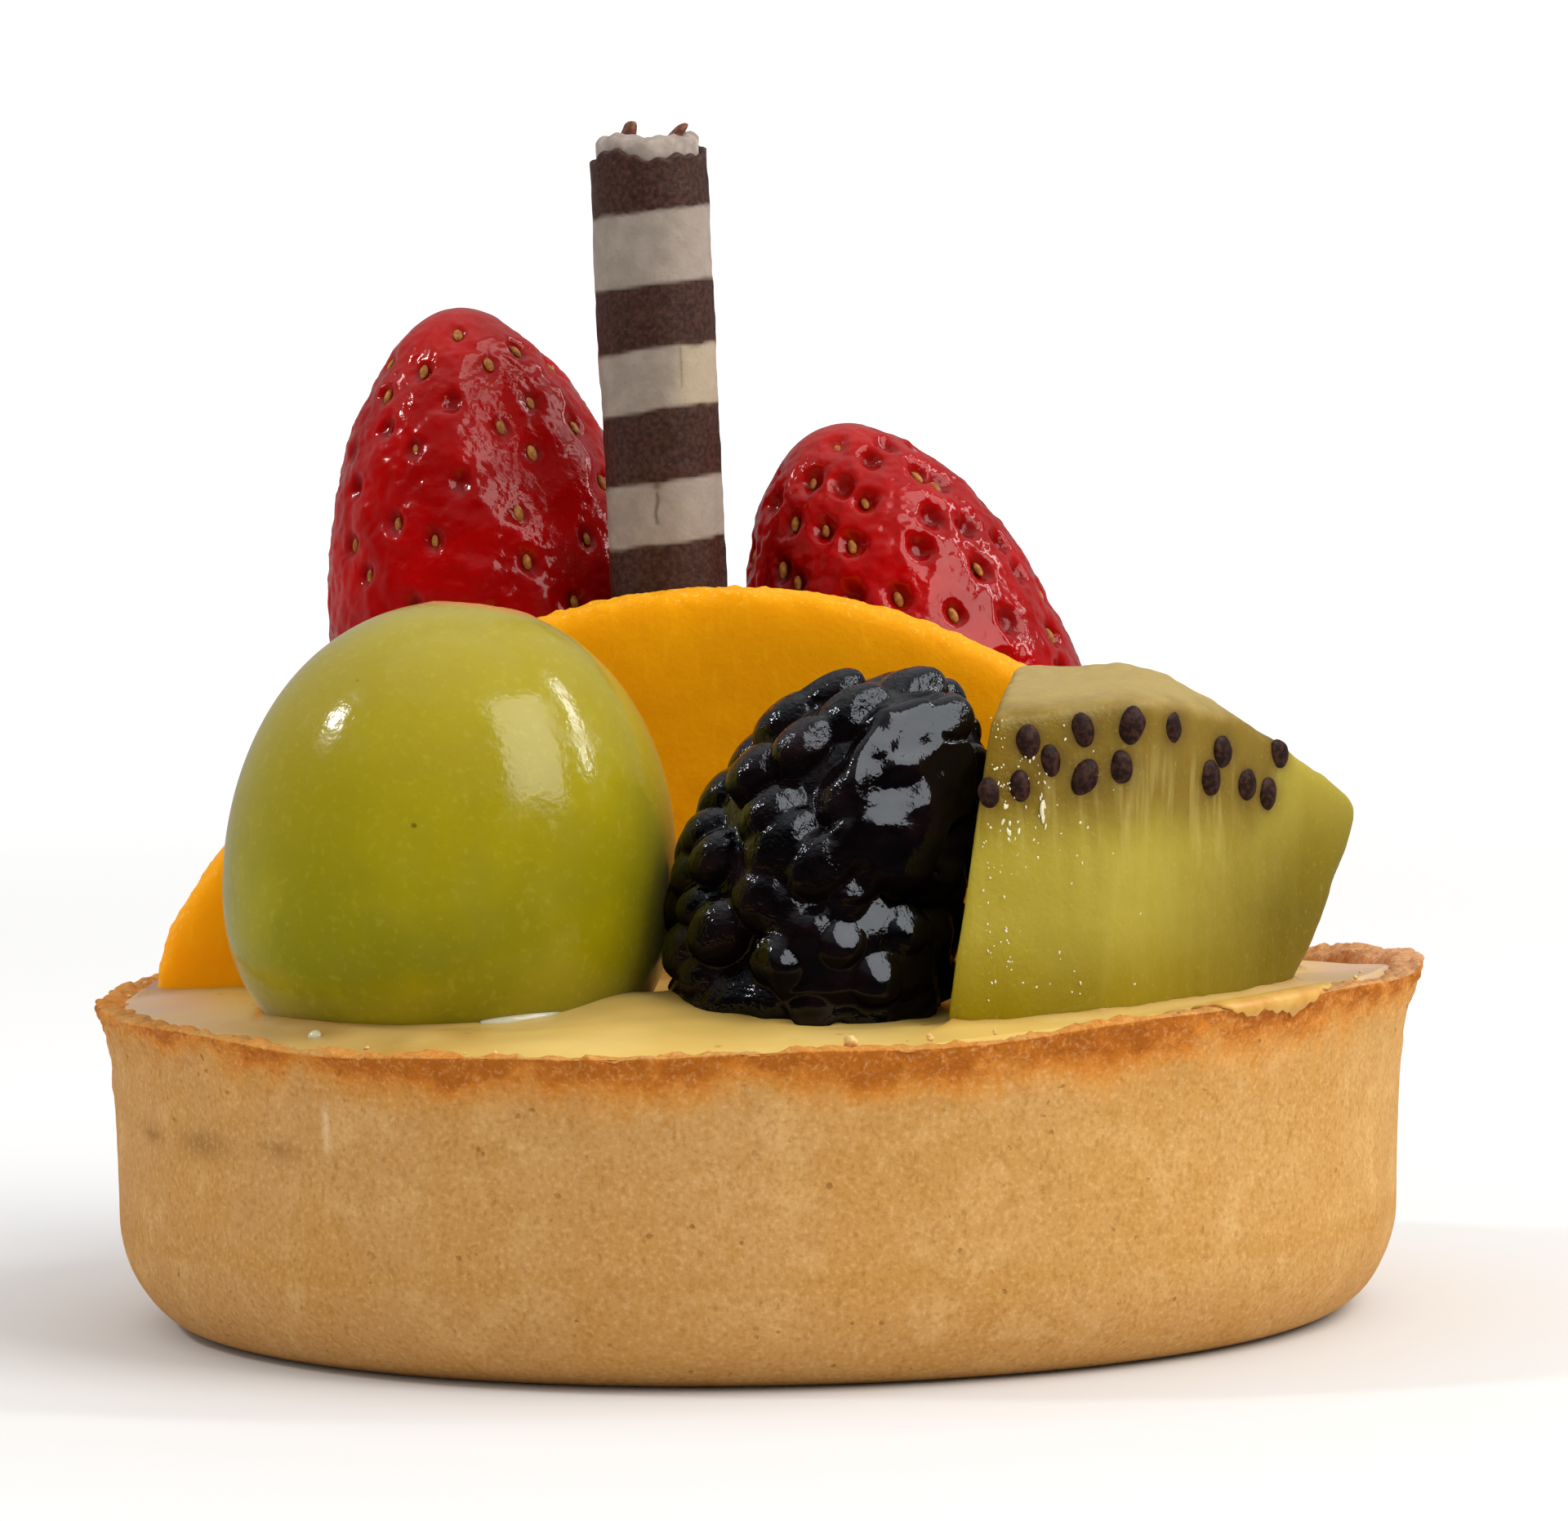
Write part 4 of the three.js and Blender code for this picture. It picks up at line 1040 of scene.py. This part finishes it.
def makeBerry(name, node, berry, paint, seedFinish, seed):
    steps, angles = grid(236, 320)
    flat = 16
    share = np.concatenate([np.zeros(flat), np.sin(np.linspace(0, math.pi / 2, 236 - flat)) ** 1.15])[:, None]
    share = np.clip(share, 0, 0.9995)
    disc = np.concatenate([np.linspace(0.03, 0.97, flat), np.ones(236 - flat)])[:, None]
    radius = berryRadius(berry, share) * disc
    points = stack(radius * np.cos(angles), radius * np.sin(angles), berry["length"] * share + 0 * angles)
    # Pits lie on a sunflower spiral, each a little out of place.
    count = berry["pits"]
    index = np.arange(count)
    draw = np.random.default_rng(seed)
    level = 0.5 + 0.47 * (1 - (2 * index + 1) / count) + draw.uniform(-0.016, 0.016, count)
    around = index * goldenAngle + draw.uniform(-0.13, 0.13, count)
    ring = berryRadius(berry, level)
    places = stack(ring * np.cos(around), ring * np.sin(around), berry["length"] * level)
    nearest = np.full(points.shape[:2], 9.0)
    for place in places:
        # Pits are longer than wide along the fruit.
        gap = (points - place) * np.array([1, 1, 0.8])
        nearest = np.minimum(nearest, np.linalg.norm(gap, axis=-1))
    nearest = nearest * (1 + 0.22 * lumps(points, 1.0, seed + 3))
    pit = np.exp(-(nearest / berry["pitWidth"]) ** 3.2)
    puff = berry["puff"] * (1 - np.exp(-(nearest / 2.3) ** 2))
    swell = 0.3 * lumps(points, 7.0, seed + 1) + berry["wrinkle"] * lumps(points, 1.5, seed + 2)
    swell = swell + 0.08 * lumps(points, 0.5, seed + 4)
    fade = np.clip(share * 12, 0, 1) * np.clip((1 - share) * 14, 0, 1)
    offset = (puff - berry["pitDepth"] * pit + swell - 0.25) * fade
    outwards = stack(np.cos(angles), np.sin(angles), 0 * angles + 0 * share)
    tilt = np.gradient(radius[:, 0]) / (np.gradient(share[:, 0]) * berry["length"] + 1e-6)
    outwards[..., 2] = np.clip(-tilt, -0.5, 3)[:, None] * (share > 0.02)
    outwards = unit(outwards)
    points = points + outwards * offset[..., None]
    tipMark = np.clip((share - 0.8) * 4, 0, 1) + 0 * angles
    placed = turned(points, berry["lean"], berry["foot"])
    cut = shaved(placed, berry["facet"], berry["facetDepth"], 0.7)
    placed = shave(placed, cut)
    tubePiece(name, placed, paint, [node], {"pit": pit * fade, "tip": tipMark})
    # Seeds sit in the pits, upright along the skin.
    kept = draw.uniform(0, 1, count) > berry["bare"] + berry["bareRight"] * (np.cos(around) > 0.25)
    slant = np.interp(level, share[:, 0], np.clip(-tilt, -0.5, 3))
    normal = unit(stack(np.cos(around), np.sin(around), slant))
    across = stack(-np.sin(around), np.cos(around), 0 * around)
    along = np.cross(normal, across)
    sit = places - normal * (berry["pitDepth"] + 0.05)
    axes = np.stack([across, normal, along], axis=1)
    sizes = np.array([0.26, 0.2, 0.46]) * draw.uniform(0.8, 1.2, (count, 1))
    centres = shave(turned(sit, berry["lean"], berry["foot"]), cut)
    axes = turned(axes, berry["lean"], (0, 0, 0))
    beadsPiece(name + "Seeds", centres[kept], axes[kept], sizes[kept], seedFinish, 8, 12)


def makeBerries():
    paint = berryPaint()
    seedFinish = seedPaint("strawberrySeed", (150, 84, 18), (190, 130, 44))
    makeBerry("strawberryLeftFine", "strawberry_left", berries["left"], paint, seedFinish, 71)
    makeBerry("strawberryRightFine", "strawberry_right", berries["right"], paint, seedFinish, 81)
    print("strawberries made")


# ---- chocolate straw ----

def strawPaint():
    paint = Paint("stripedChocolate", {"Specular IOR Level": 0.3})
    dark = paint.mix(paint.rise(paint.noise(0.3, 4), 0.3, 0.75), shade(50, 24, 16), shade(80, 48, 37))
    flecks = paint.rise(paint.noise(0.35, 2, (1, 1, 2.2)), 0.68, 0.78)
    dark = paint.mix(flecks * 0.35, dark, shade(138, 112, 100))
    pale = paint.mix(paint.rise(paint.noise(1.6, 3), 0.35, 0.7), shade(140, 128, 117), shade(154, 141, 130))
    right = paint.rise(paint.axis("X") + (paint.noise(3.0, 2) - 0.5) * 2, -5.2, -3.4)
    level = paint.axis("Z")
    yellow = right * paint.rise(level, 60, 57.2) * paint.rise(level, 53.4, 53.9)
    pale = paint.mix(right * 0.4, pale, shade(168, 153, 140))
    pale = paint.mix(yellow * 0.7, pale, shade(178, 161, 132))
    pale = paint.mix(paint.rise(paint.noise(0.3, 2), 0.6, 0.75) * 0.3, pale, shade(120, 102, 88))
    crack = paint.attribute("crack")
    pale = paint.mix(crack, pale, shade(84, 66, 44))
    paint.feed("Base Color", paint.mix(paint.attribute("pale"), dark, pale))
    paint.feed("Roughness", 0.4 + paint.noise(0.8, 3) * 0.25)
    paint.bump(paint.noise(0.3, 3) + paint.noise(1.2, 2) * 0.6 - crack, 0.06, 0.7)
    return paint


def innerPaint():
    paint = Paint("paleChocolate", {"Specular IOR Level": 0.35})
    base = paint.mix(paint.rise(paint.noise(1.0, 3), 0.35, 0.7), shade(146, 132, 122), shade(176, 162, 150))
    paint.feed("Base Color", base)
    paint.feed("Roughness", 0.5 + paint.noise(0.8, 3) * 0.2)
    paint.bump(paint.noise(0.3, 3), 0.05, 0.6)
    return paint


def strawPlace(points):
    # From the straw's own frame, up its axis from the foot, to its place.
    foot = np.array(straw["foot"], float)
    top = np.array(straw["top"], float)
    tilt = math.atan2(top[0] - foot[0], top[2] - foot[2])
    return turned(points, tilt, straw["foot"])


def makeStraw():
    # A rolled sheet: the radius falls by the sheet's thickness once round, which leaves a seam.
    seam = math.radians(-9)
    sheet = 0.05
    paint = strawPaint()
    bands = np.array([65.7, 61.3, 57.4, 53.75, 49.35, 45.7]) - straw["foot"][2]
    length = math.dist(straw["foot"], straw["top"])
    rows, columns = 300, 190
    angles = np.linspace(0, turnOf, columns, endpoint=False)[None, :] + seam
    since = (angles - seam) / turnOf
    loose = np.clip((51.5 - straw["foot"][2] - np.linspace(0, 1, rows)[:, None] * length) / 2.5, 0, 1)
    wall = straw["radius"] - sheet * since - 0.2 * loose * np.clip(since * 1.6 - 0.6, 0, 1)
    chipped = 0.62 + 0.28 * np.sin(2 * angles + 0.6) + 0.2 * np.sin(5 * angles) + 0.1 * np.sin(17 * angles)
    chipped = chipped - 0.5 * np.exp(-(((angles - math.radians(185)) / 0.4) ** 2))
    body = np.linspace(0, 1, rows - 26)[:, None]
    up = np.concatenate([0 * np.linspace(0, 1, 6)[:, None], body, np.ones((20, 1))])
    shrink = np.concatenate([np.linspace(0.1, 0.98, 6), np.ones(rows - 26), np.linspace(0.97, 0.0, 20)])[:, None]
    hollow = straw["inner"] + 0.12
    radius = np.where(up < 1, wall * shrink, hollow + (wall - hollow) * shrink)
    level = up * (length - 0.6) + np.clip(up * 8 - 7, 0, 1) * chipped
    lip = np.concatenate([np.zeros(rows - 20), np.sin(np.linspace(0.1, math.pi * 0.9, 20)) * 0.12])[:, None]
    points = stack(radius * np.cos(angles), radius * np.sin(angles), level + lip)
    relief = 0.05 * lumps(points, 3.0, 91) + 0.035 * lumps(points, 0.7, 92)
    points[..., :2] *= (1 + relief / 3.6)[..., None]
    height = points[..., 2] - 0.3 * np.cos(angles) + 0.12 * lumps(points, 1.2, 93)
    pale = 0
    for top, bottom in [(bands[0], bands[1]), (bands[2], bands[3]), (bands[4], bands[5])]:
        pale = pale + np.clip((top - height) / 0.22 + 0.5, 0, 1) * np.clip((height - bottom) / 0.22 + 0.5, 0, 1)
    # One short crack in the lowest pale band.
    turned360 = angles - turnOf * (angles > math.pi)
    crackLine = math.radians(-99) + 0.02 * np.sin(height * 4) + 0.015 * (height - bands[5])
    crack = np.exp(-((turned360 - crackLine) * 3.6 / 0.11) ** 2)
    crack = crack * (height > bands[5] + 1.1) * (height < bands[4] - 0.5)
    blot = np.exp(-((turned360 - crackLine - 0.02) * 3.6 / 0.28) ** 2 - ((height - bands[4] + 0.15) / 0.25) ** 2)
    joint = np.exp(-((turned360 - math.radians(-66)) * 3.6 / 0.09) ** 2) * (height > bands[3] + 1) * (height < bands[2])
    crack = np.maximum(np.maximum(crack, blot), 0.5 * joint)
    tubePiece("strawFine", strawPlace(points), paint, ["chocolate_straw"],
              {"pale": pale, "crack": np.clip(crack, 0, 1) * 0.8})
    makeInnerRoll(length, hollow)
    print("straw made")


def makeInnerRoll(length, hollow):
    # The pale inner roll stands proud of the outer one and is open at the top.
    rise = straw["innerTop"] - straw["top"][2]
    section = [(0.2, length - 9), (2.9, length - 9), (hollow, length - 2), (hollow, length + rise - 0.35)]
    section += [(2.9, length + rise - 0.1), (2.7, length + rise), (2.35, length + rise - 0.05)]
    section += [(2.2, length + rise - 0.5), (2.0, length - 4.6), (0.1, length - 4.8)]
    section = np.array(section)
    fine = np.linspace(0, len(section) - 1, 90)
    angles = grid(2, 150)[1]
    radius = np.interp(fine, np.arange(len(section)), section[:, 0])[:, None]
    level = np.interp(fine, np.arange(len(section)), section[:, 1])[:, None]
    near = np.clip((level - length + 1) / 1.2, 0, 1)
    chipped = 0.14 * np.sin(2 * angles + 0.6) + 0.1 * np.sin(5 * angles) + 0.07 * np.sin(13 * angles)
    points = stack(radius * np.cos(angles), radius * np.sin(angles), level + near * chipped)
    points = points + 0.05 * lumps(points, 0.8, 94)[..., None] * np.array([1, 1, 1])
    tubePiece("strawInner", strawPlace(points), innerPaint())
    # Two little curls of chocolate left on the edge: bent tapering rods.
    finish = seedPaint("curlChocolate", (96, 48, 28), (140, 82, 56))
    for number, (x, y, lean, high) in enumerate([(-7.0, 6.9, 0.15, 0.88), (-4.5, 6.7, 0.9, 0.7)]):
        steps, around = grid(40, 18)
        root = straw["innerTop"] - 1.6
        thick = (0.52 - 0.06 * steps) * np.sqrt(np.clip(1 - (2 * steps - 1) ** 10, 0.01, 1))
        thick = thick * (1 + 0.25 * np.cos(2 * around + 3 * steps))
        middle = lean * steps ** 2 - 0.12 * np.sin(5 * steps)
        height = root + (high + 1.6) * steps
        rod = stack(x + middle + thick * np.cos(around), y + thick * np.sin(around), height)
        tubePiece(f"curl{number + 1}", rod + 0.06 * lumps(rod, 0.5, 95)[..., None], finish)


# ---- crumbs ----

def makeCrumbs():
    # Loose bits of pastry on the lip and the cream: lumpy grains at seeded places round the rim.
    draw = np.random.default_rng(101)
    count = 26
    angle = np.concatenate([np.radians([-82, -75.5, -112]), draw.uniform(0, turnOf, count - 3)])
    reach = np.concatenate([[38.0, 38.3, 37.8], draw.uniform(36.9, 38.9, count - 3)])
    size = np.concatenate([[0.34, 0.2, 0.14], draw.uniform(0.06, 0.15, count - 3)])
    spread = draw.uniform(0.7, 1.25, (count, 3))
    level = lipHeight(angle) - 0.15 + 0.1 * (reach - 37.4)
    centres = stack(reach * np.cos(angle), reach * np.sin(angle), level + size * 0.4)
    spin = draw.uniform(0, turnOf, count)
    axes = np.stack([stack(np.cos(spin), np.sin(spin), 0 * spin), stack(-np.sin(spin), np.cos(spin), 0 * spin),
                     stack(0 * spin, 0 * spin, 0 * spin + 1)], axis=1)
    finish = seedPaint("crumb", (228, 182, 104), (244, 214, 148))
    beadsPiece("crumbs", centres, axes, size[:, None] * spread, finish, 9, 12, 0.5, 102)
    print("crumbs made")


makeCrust()
makeCustard()
makeDrips()
makeGlaze()
makeGrape()
makeBramble()
makeKiwi()
makePeach()
makeBerries()
makeStraw()
makeCrumbs()


# ---- studio ----
studio = {
    "target": (1.91, 0, 32.68), "distance": 400, "elevation": 3.008, "roll": 0.911, "lens": 153.72,
    "floorRadius": 3000, "sweepStart": 900, "sweepHeight": 700,
    "roomFront": 0.3, "roomBack": 0.62, "roomTop": 0.4,
    "domeRadius": 760, "domeFront": 0.01, "domeFloor": 0.05, "domeBack": 0.26, "domeTop": 0.34,
}


def makeCamera():
    camera = bpy.data.cameras.new("camera")
    camera.lens = studio["lens"]
    camera.sensor_width = 36
    camera.sensor_fit = "HORIZONTAL"
    camera.clip_start = 0.01
    camera.clip_end = 20
    holder = bpy.data.objects.new("camera", camera)
    rise = math.radians(studio["elevation"])
    away = Vector((0, -math.cos(rise), math.sin(rise))) * studio["distance"]
    place = Matrix.Translation((Vector(studio["target"]) + away) * mm)
    look = Matrix.Rotation(math.pi / 2 - rise, 4, "X") @ Matrix.Rotation(-math.radians(studio["roll"]), 4, "Z")
    holder.matrix_world = place @ look
    bpy.context.scene.collection.objects.link(holder)
    bpy.context.scene.camera = holder


def softBox(name, towards, distance, size, power, twist=0.0, middle=(0, 0, 0.03), colour=(1, 1, 1)):
    # An area light that looks at the middle from the given direction, turned by twist degrees.
    light = bpy.data.lights.new(name, "AREA")
    light.shape = "RECTANGLE"
    light.size, light.size_y = size
    light.energy = power
    light.color = colour
    holder = bpy.data.objects.new(name, light)
    facing = Vector(towards).normalized()
    across = Vector((0, 0, 1)).cross(facing).normalized()
    turn = Matrix((across, facing.cross(across), facing)).transposed().to_4x4()
    spun = turn @ Matrix.Rotation(math.radians(twist), 4, "Z")
    holder.matrix_world = Matrix.Translation(Vector(middle) + facing * distance) @ spun
    bpy.context.scene.collection.objects.link(holder)


def revolved(name, profile, angles, paint):
    # An open sheet: a profile of [radius, height] carried through the angles.
    profile = np.array(profile, float)
    points = stack(profile[:, :1] * np.cos(angles), profile[:, :1] * np.sin(angles), profile[:, 1:] + 0 * angles)
    row, column = np.meshgrid(np.arange(len(profile) - 1), np.arange(angles.size - 1), indexing="ij")
    low = row * angles.size + column
    quads = np.stack([low, low + angles.size, low + angles.size + 1, low + 1], axis=-1).reshape(-1, 4)
    mesh = makeMesh(name, points.reshape(-1, 3), quads, np.zeros((0, 3), int))
    mesh.materials.append(paint.material)
    paint.material.cycles.emission_sampling = "NONE"
    sheet = bpy.data.objects.new(name, mesh)
    bpy.context.scene.collection.objects.link(sheet)
    return sheet


def makeFloor():
    # A pale disc that turns up gently at its far edge, so that no horizon shows. It glows a little
    # far behind, as a lit sweep does.
    start, end = studio["sweepStart"], studio["floorRadius"]
    radius = np.concatenate([[0.1], np.linspace(20, start, 30), np.linspace(start + 50, end, 50)])
    climb = np.clip((radius - start) / (end - start), 0, 1)
    paint = Paint("paleFloor", {"Base Color": shade(231, 230, 229), "Roughness": 0.7, "Specular IOR Level": 0.1,
                                "Emission Strength": 1.0})
    x, y = paint.axis("X"), paint.axis("Y")
    far = paint.rise((x * x + y * y) ** 0.5, 120, 900)
    near = paint.rise((x * x + y * y) ** 0.5, 40, 150)
    glow = far * (0.14 + paint.rise(y, -200, 500) * 0.3) + near * 0.11
    paint.feed("Emission Color", paint.mix(glow, (0, 0, 0, 1), (1, 1, 1, 1)))
    profile = np.stack([radius, studio["sweepHeight"] * climb ** 2], axis=1)
    revolved("floor", profile, np.linspace(0, turnOf, 129), paint)


def makeDarkDome():
    # A dark tent that only reflections see: it lies on the floor and stands up beyond the lights,
    # nearly black in front, paler behind and open overhead.
    paint = Paint("darkDome", {"Base Color": (0, 0, 0, 1), "Roughness": 1.0, "Specular IOR Level": 0.0,
                               "Emission Strength": 1.0})
    x, y, z = paint.axis("X"), paint.axis("Y"), paint.axis("Z")
    away = (x * x + y * y + z * z) ** 0.5
    behind = paint.rise(y / away, -0.55, 0.75) * studio["domeBack"]
    low = paint.rise(z, 60, 2) * studio["domeFloor"]
    rim = studio["domeRadius"]
    high = paint.rise(z, 0.35 * rim, 0.92 * rim) * studio["domeTop"]
    glow = behind + low + high + studio["domeFront"]
    paint.feed("Emission Color", paint.mix(glow, (0, 0, 0, 1), (1, 1, 1, 1)))
    turn = np.linspace(0, math.radians(64), 12)
    profile = [(58, 0.6), (rim * 0.85, 0.6)] + [(rim * math.cos(t), 1 + rim * math.sin(t)) for t in turn]
    dome = revolved("darkDome", profile, np.linspace(0, turnOf, 97), paint)
    dome.visible_camera = False
    dome.visible_diffuse = False
    dome.visible_shadow = False
    dome.visible_transmission = False


def makeWorld():
    # A soft white room: bright overhead and behind, dim on the camera's side.
    world = bpy.data.worlds.new("room")
    bpy.context.scene.world = world
    world.use_nodes = True
    tree = world.node_tree
    back = tree.nodes["Background"]
    place = tree.nodes.new("ShaderNodeTexCoord")
    split = tree.nodes.new("ShaderNodeSeparateXYZ")
    tree.links.new(place.outputs["Generated"], split.inputs[0])
    parts = []
    for axis, low, high, least, most in [(1, -0.25, 0.45, studio["roomFront"], studio["roomBack"]),
                                         (2, 0.15, 1.0, 0.0, studio["roomTop"])]:
        ramp = tree.nodes.new("ShaderNodeMapRange")
        for place, value in enumerate([low, high, least, most]):
            ramp.inputs[place + 1].default_value = value
        tree.links.new(split.outputs[axis], ramp.inputs[0])
        parts.append(ramp)
    total = tree.nodes.new("ShaderNodeMath")
    for place, ramp in enumerate(parts):
        tree.links.new(ramp.outputs[0], total.inputs[place])
    tree.links.new(total.outputs[0], back.inputs["Strength"])
    back.inputs["Color"].default_value = (0.98, 0.99, 1.0, 1)


def limitBounces():
    # Enough bounces for food in a white room, and no more.
    cycles = bpy.context.scene.cycles
    cycles.max_bounces = 4
    cycles.diffuse_bounces = 3
    cycles.glossy_bounces = 2
    cycles.transmission_bounces = 0
    cycles.transparent_max_bounces = 4
    cycles.volume_bounces = 0


makeCamera()
limitBounces()
makeFloor()
makeWorld()
softBox("window", (0.605, -0.42, 0.67), 0.62, (0.34, 0.46), 2.3, -14, colour=(1.0, 0.97, 0.93))
softBox("strip", (1.12, 0.12, 0.92), 0.6, (0.05, 0.36), 0.85, -36)
softBox("spark", (-0.79, -0.02, 0.7), 0.6, (0.05, 0.06), 0.75)
makeDarkDome()
bpy.context.scene.view_settings.view_transform = "Standard"
print("studio made")
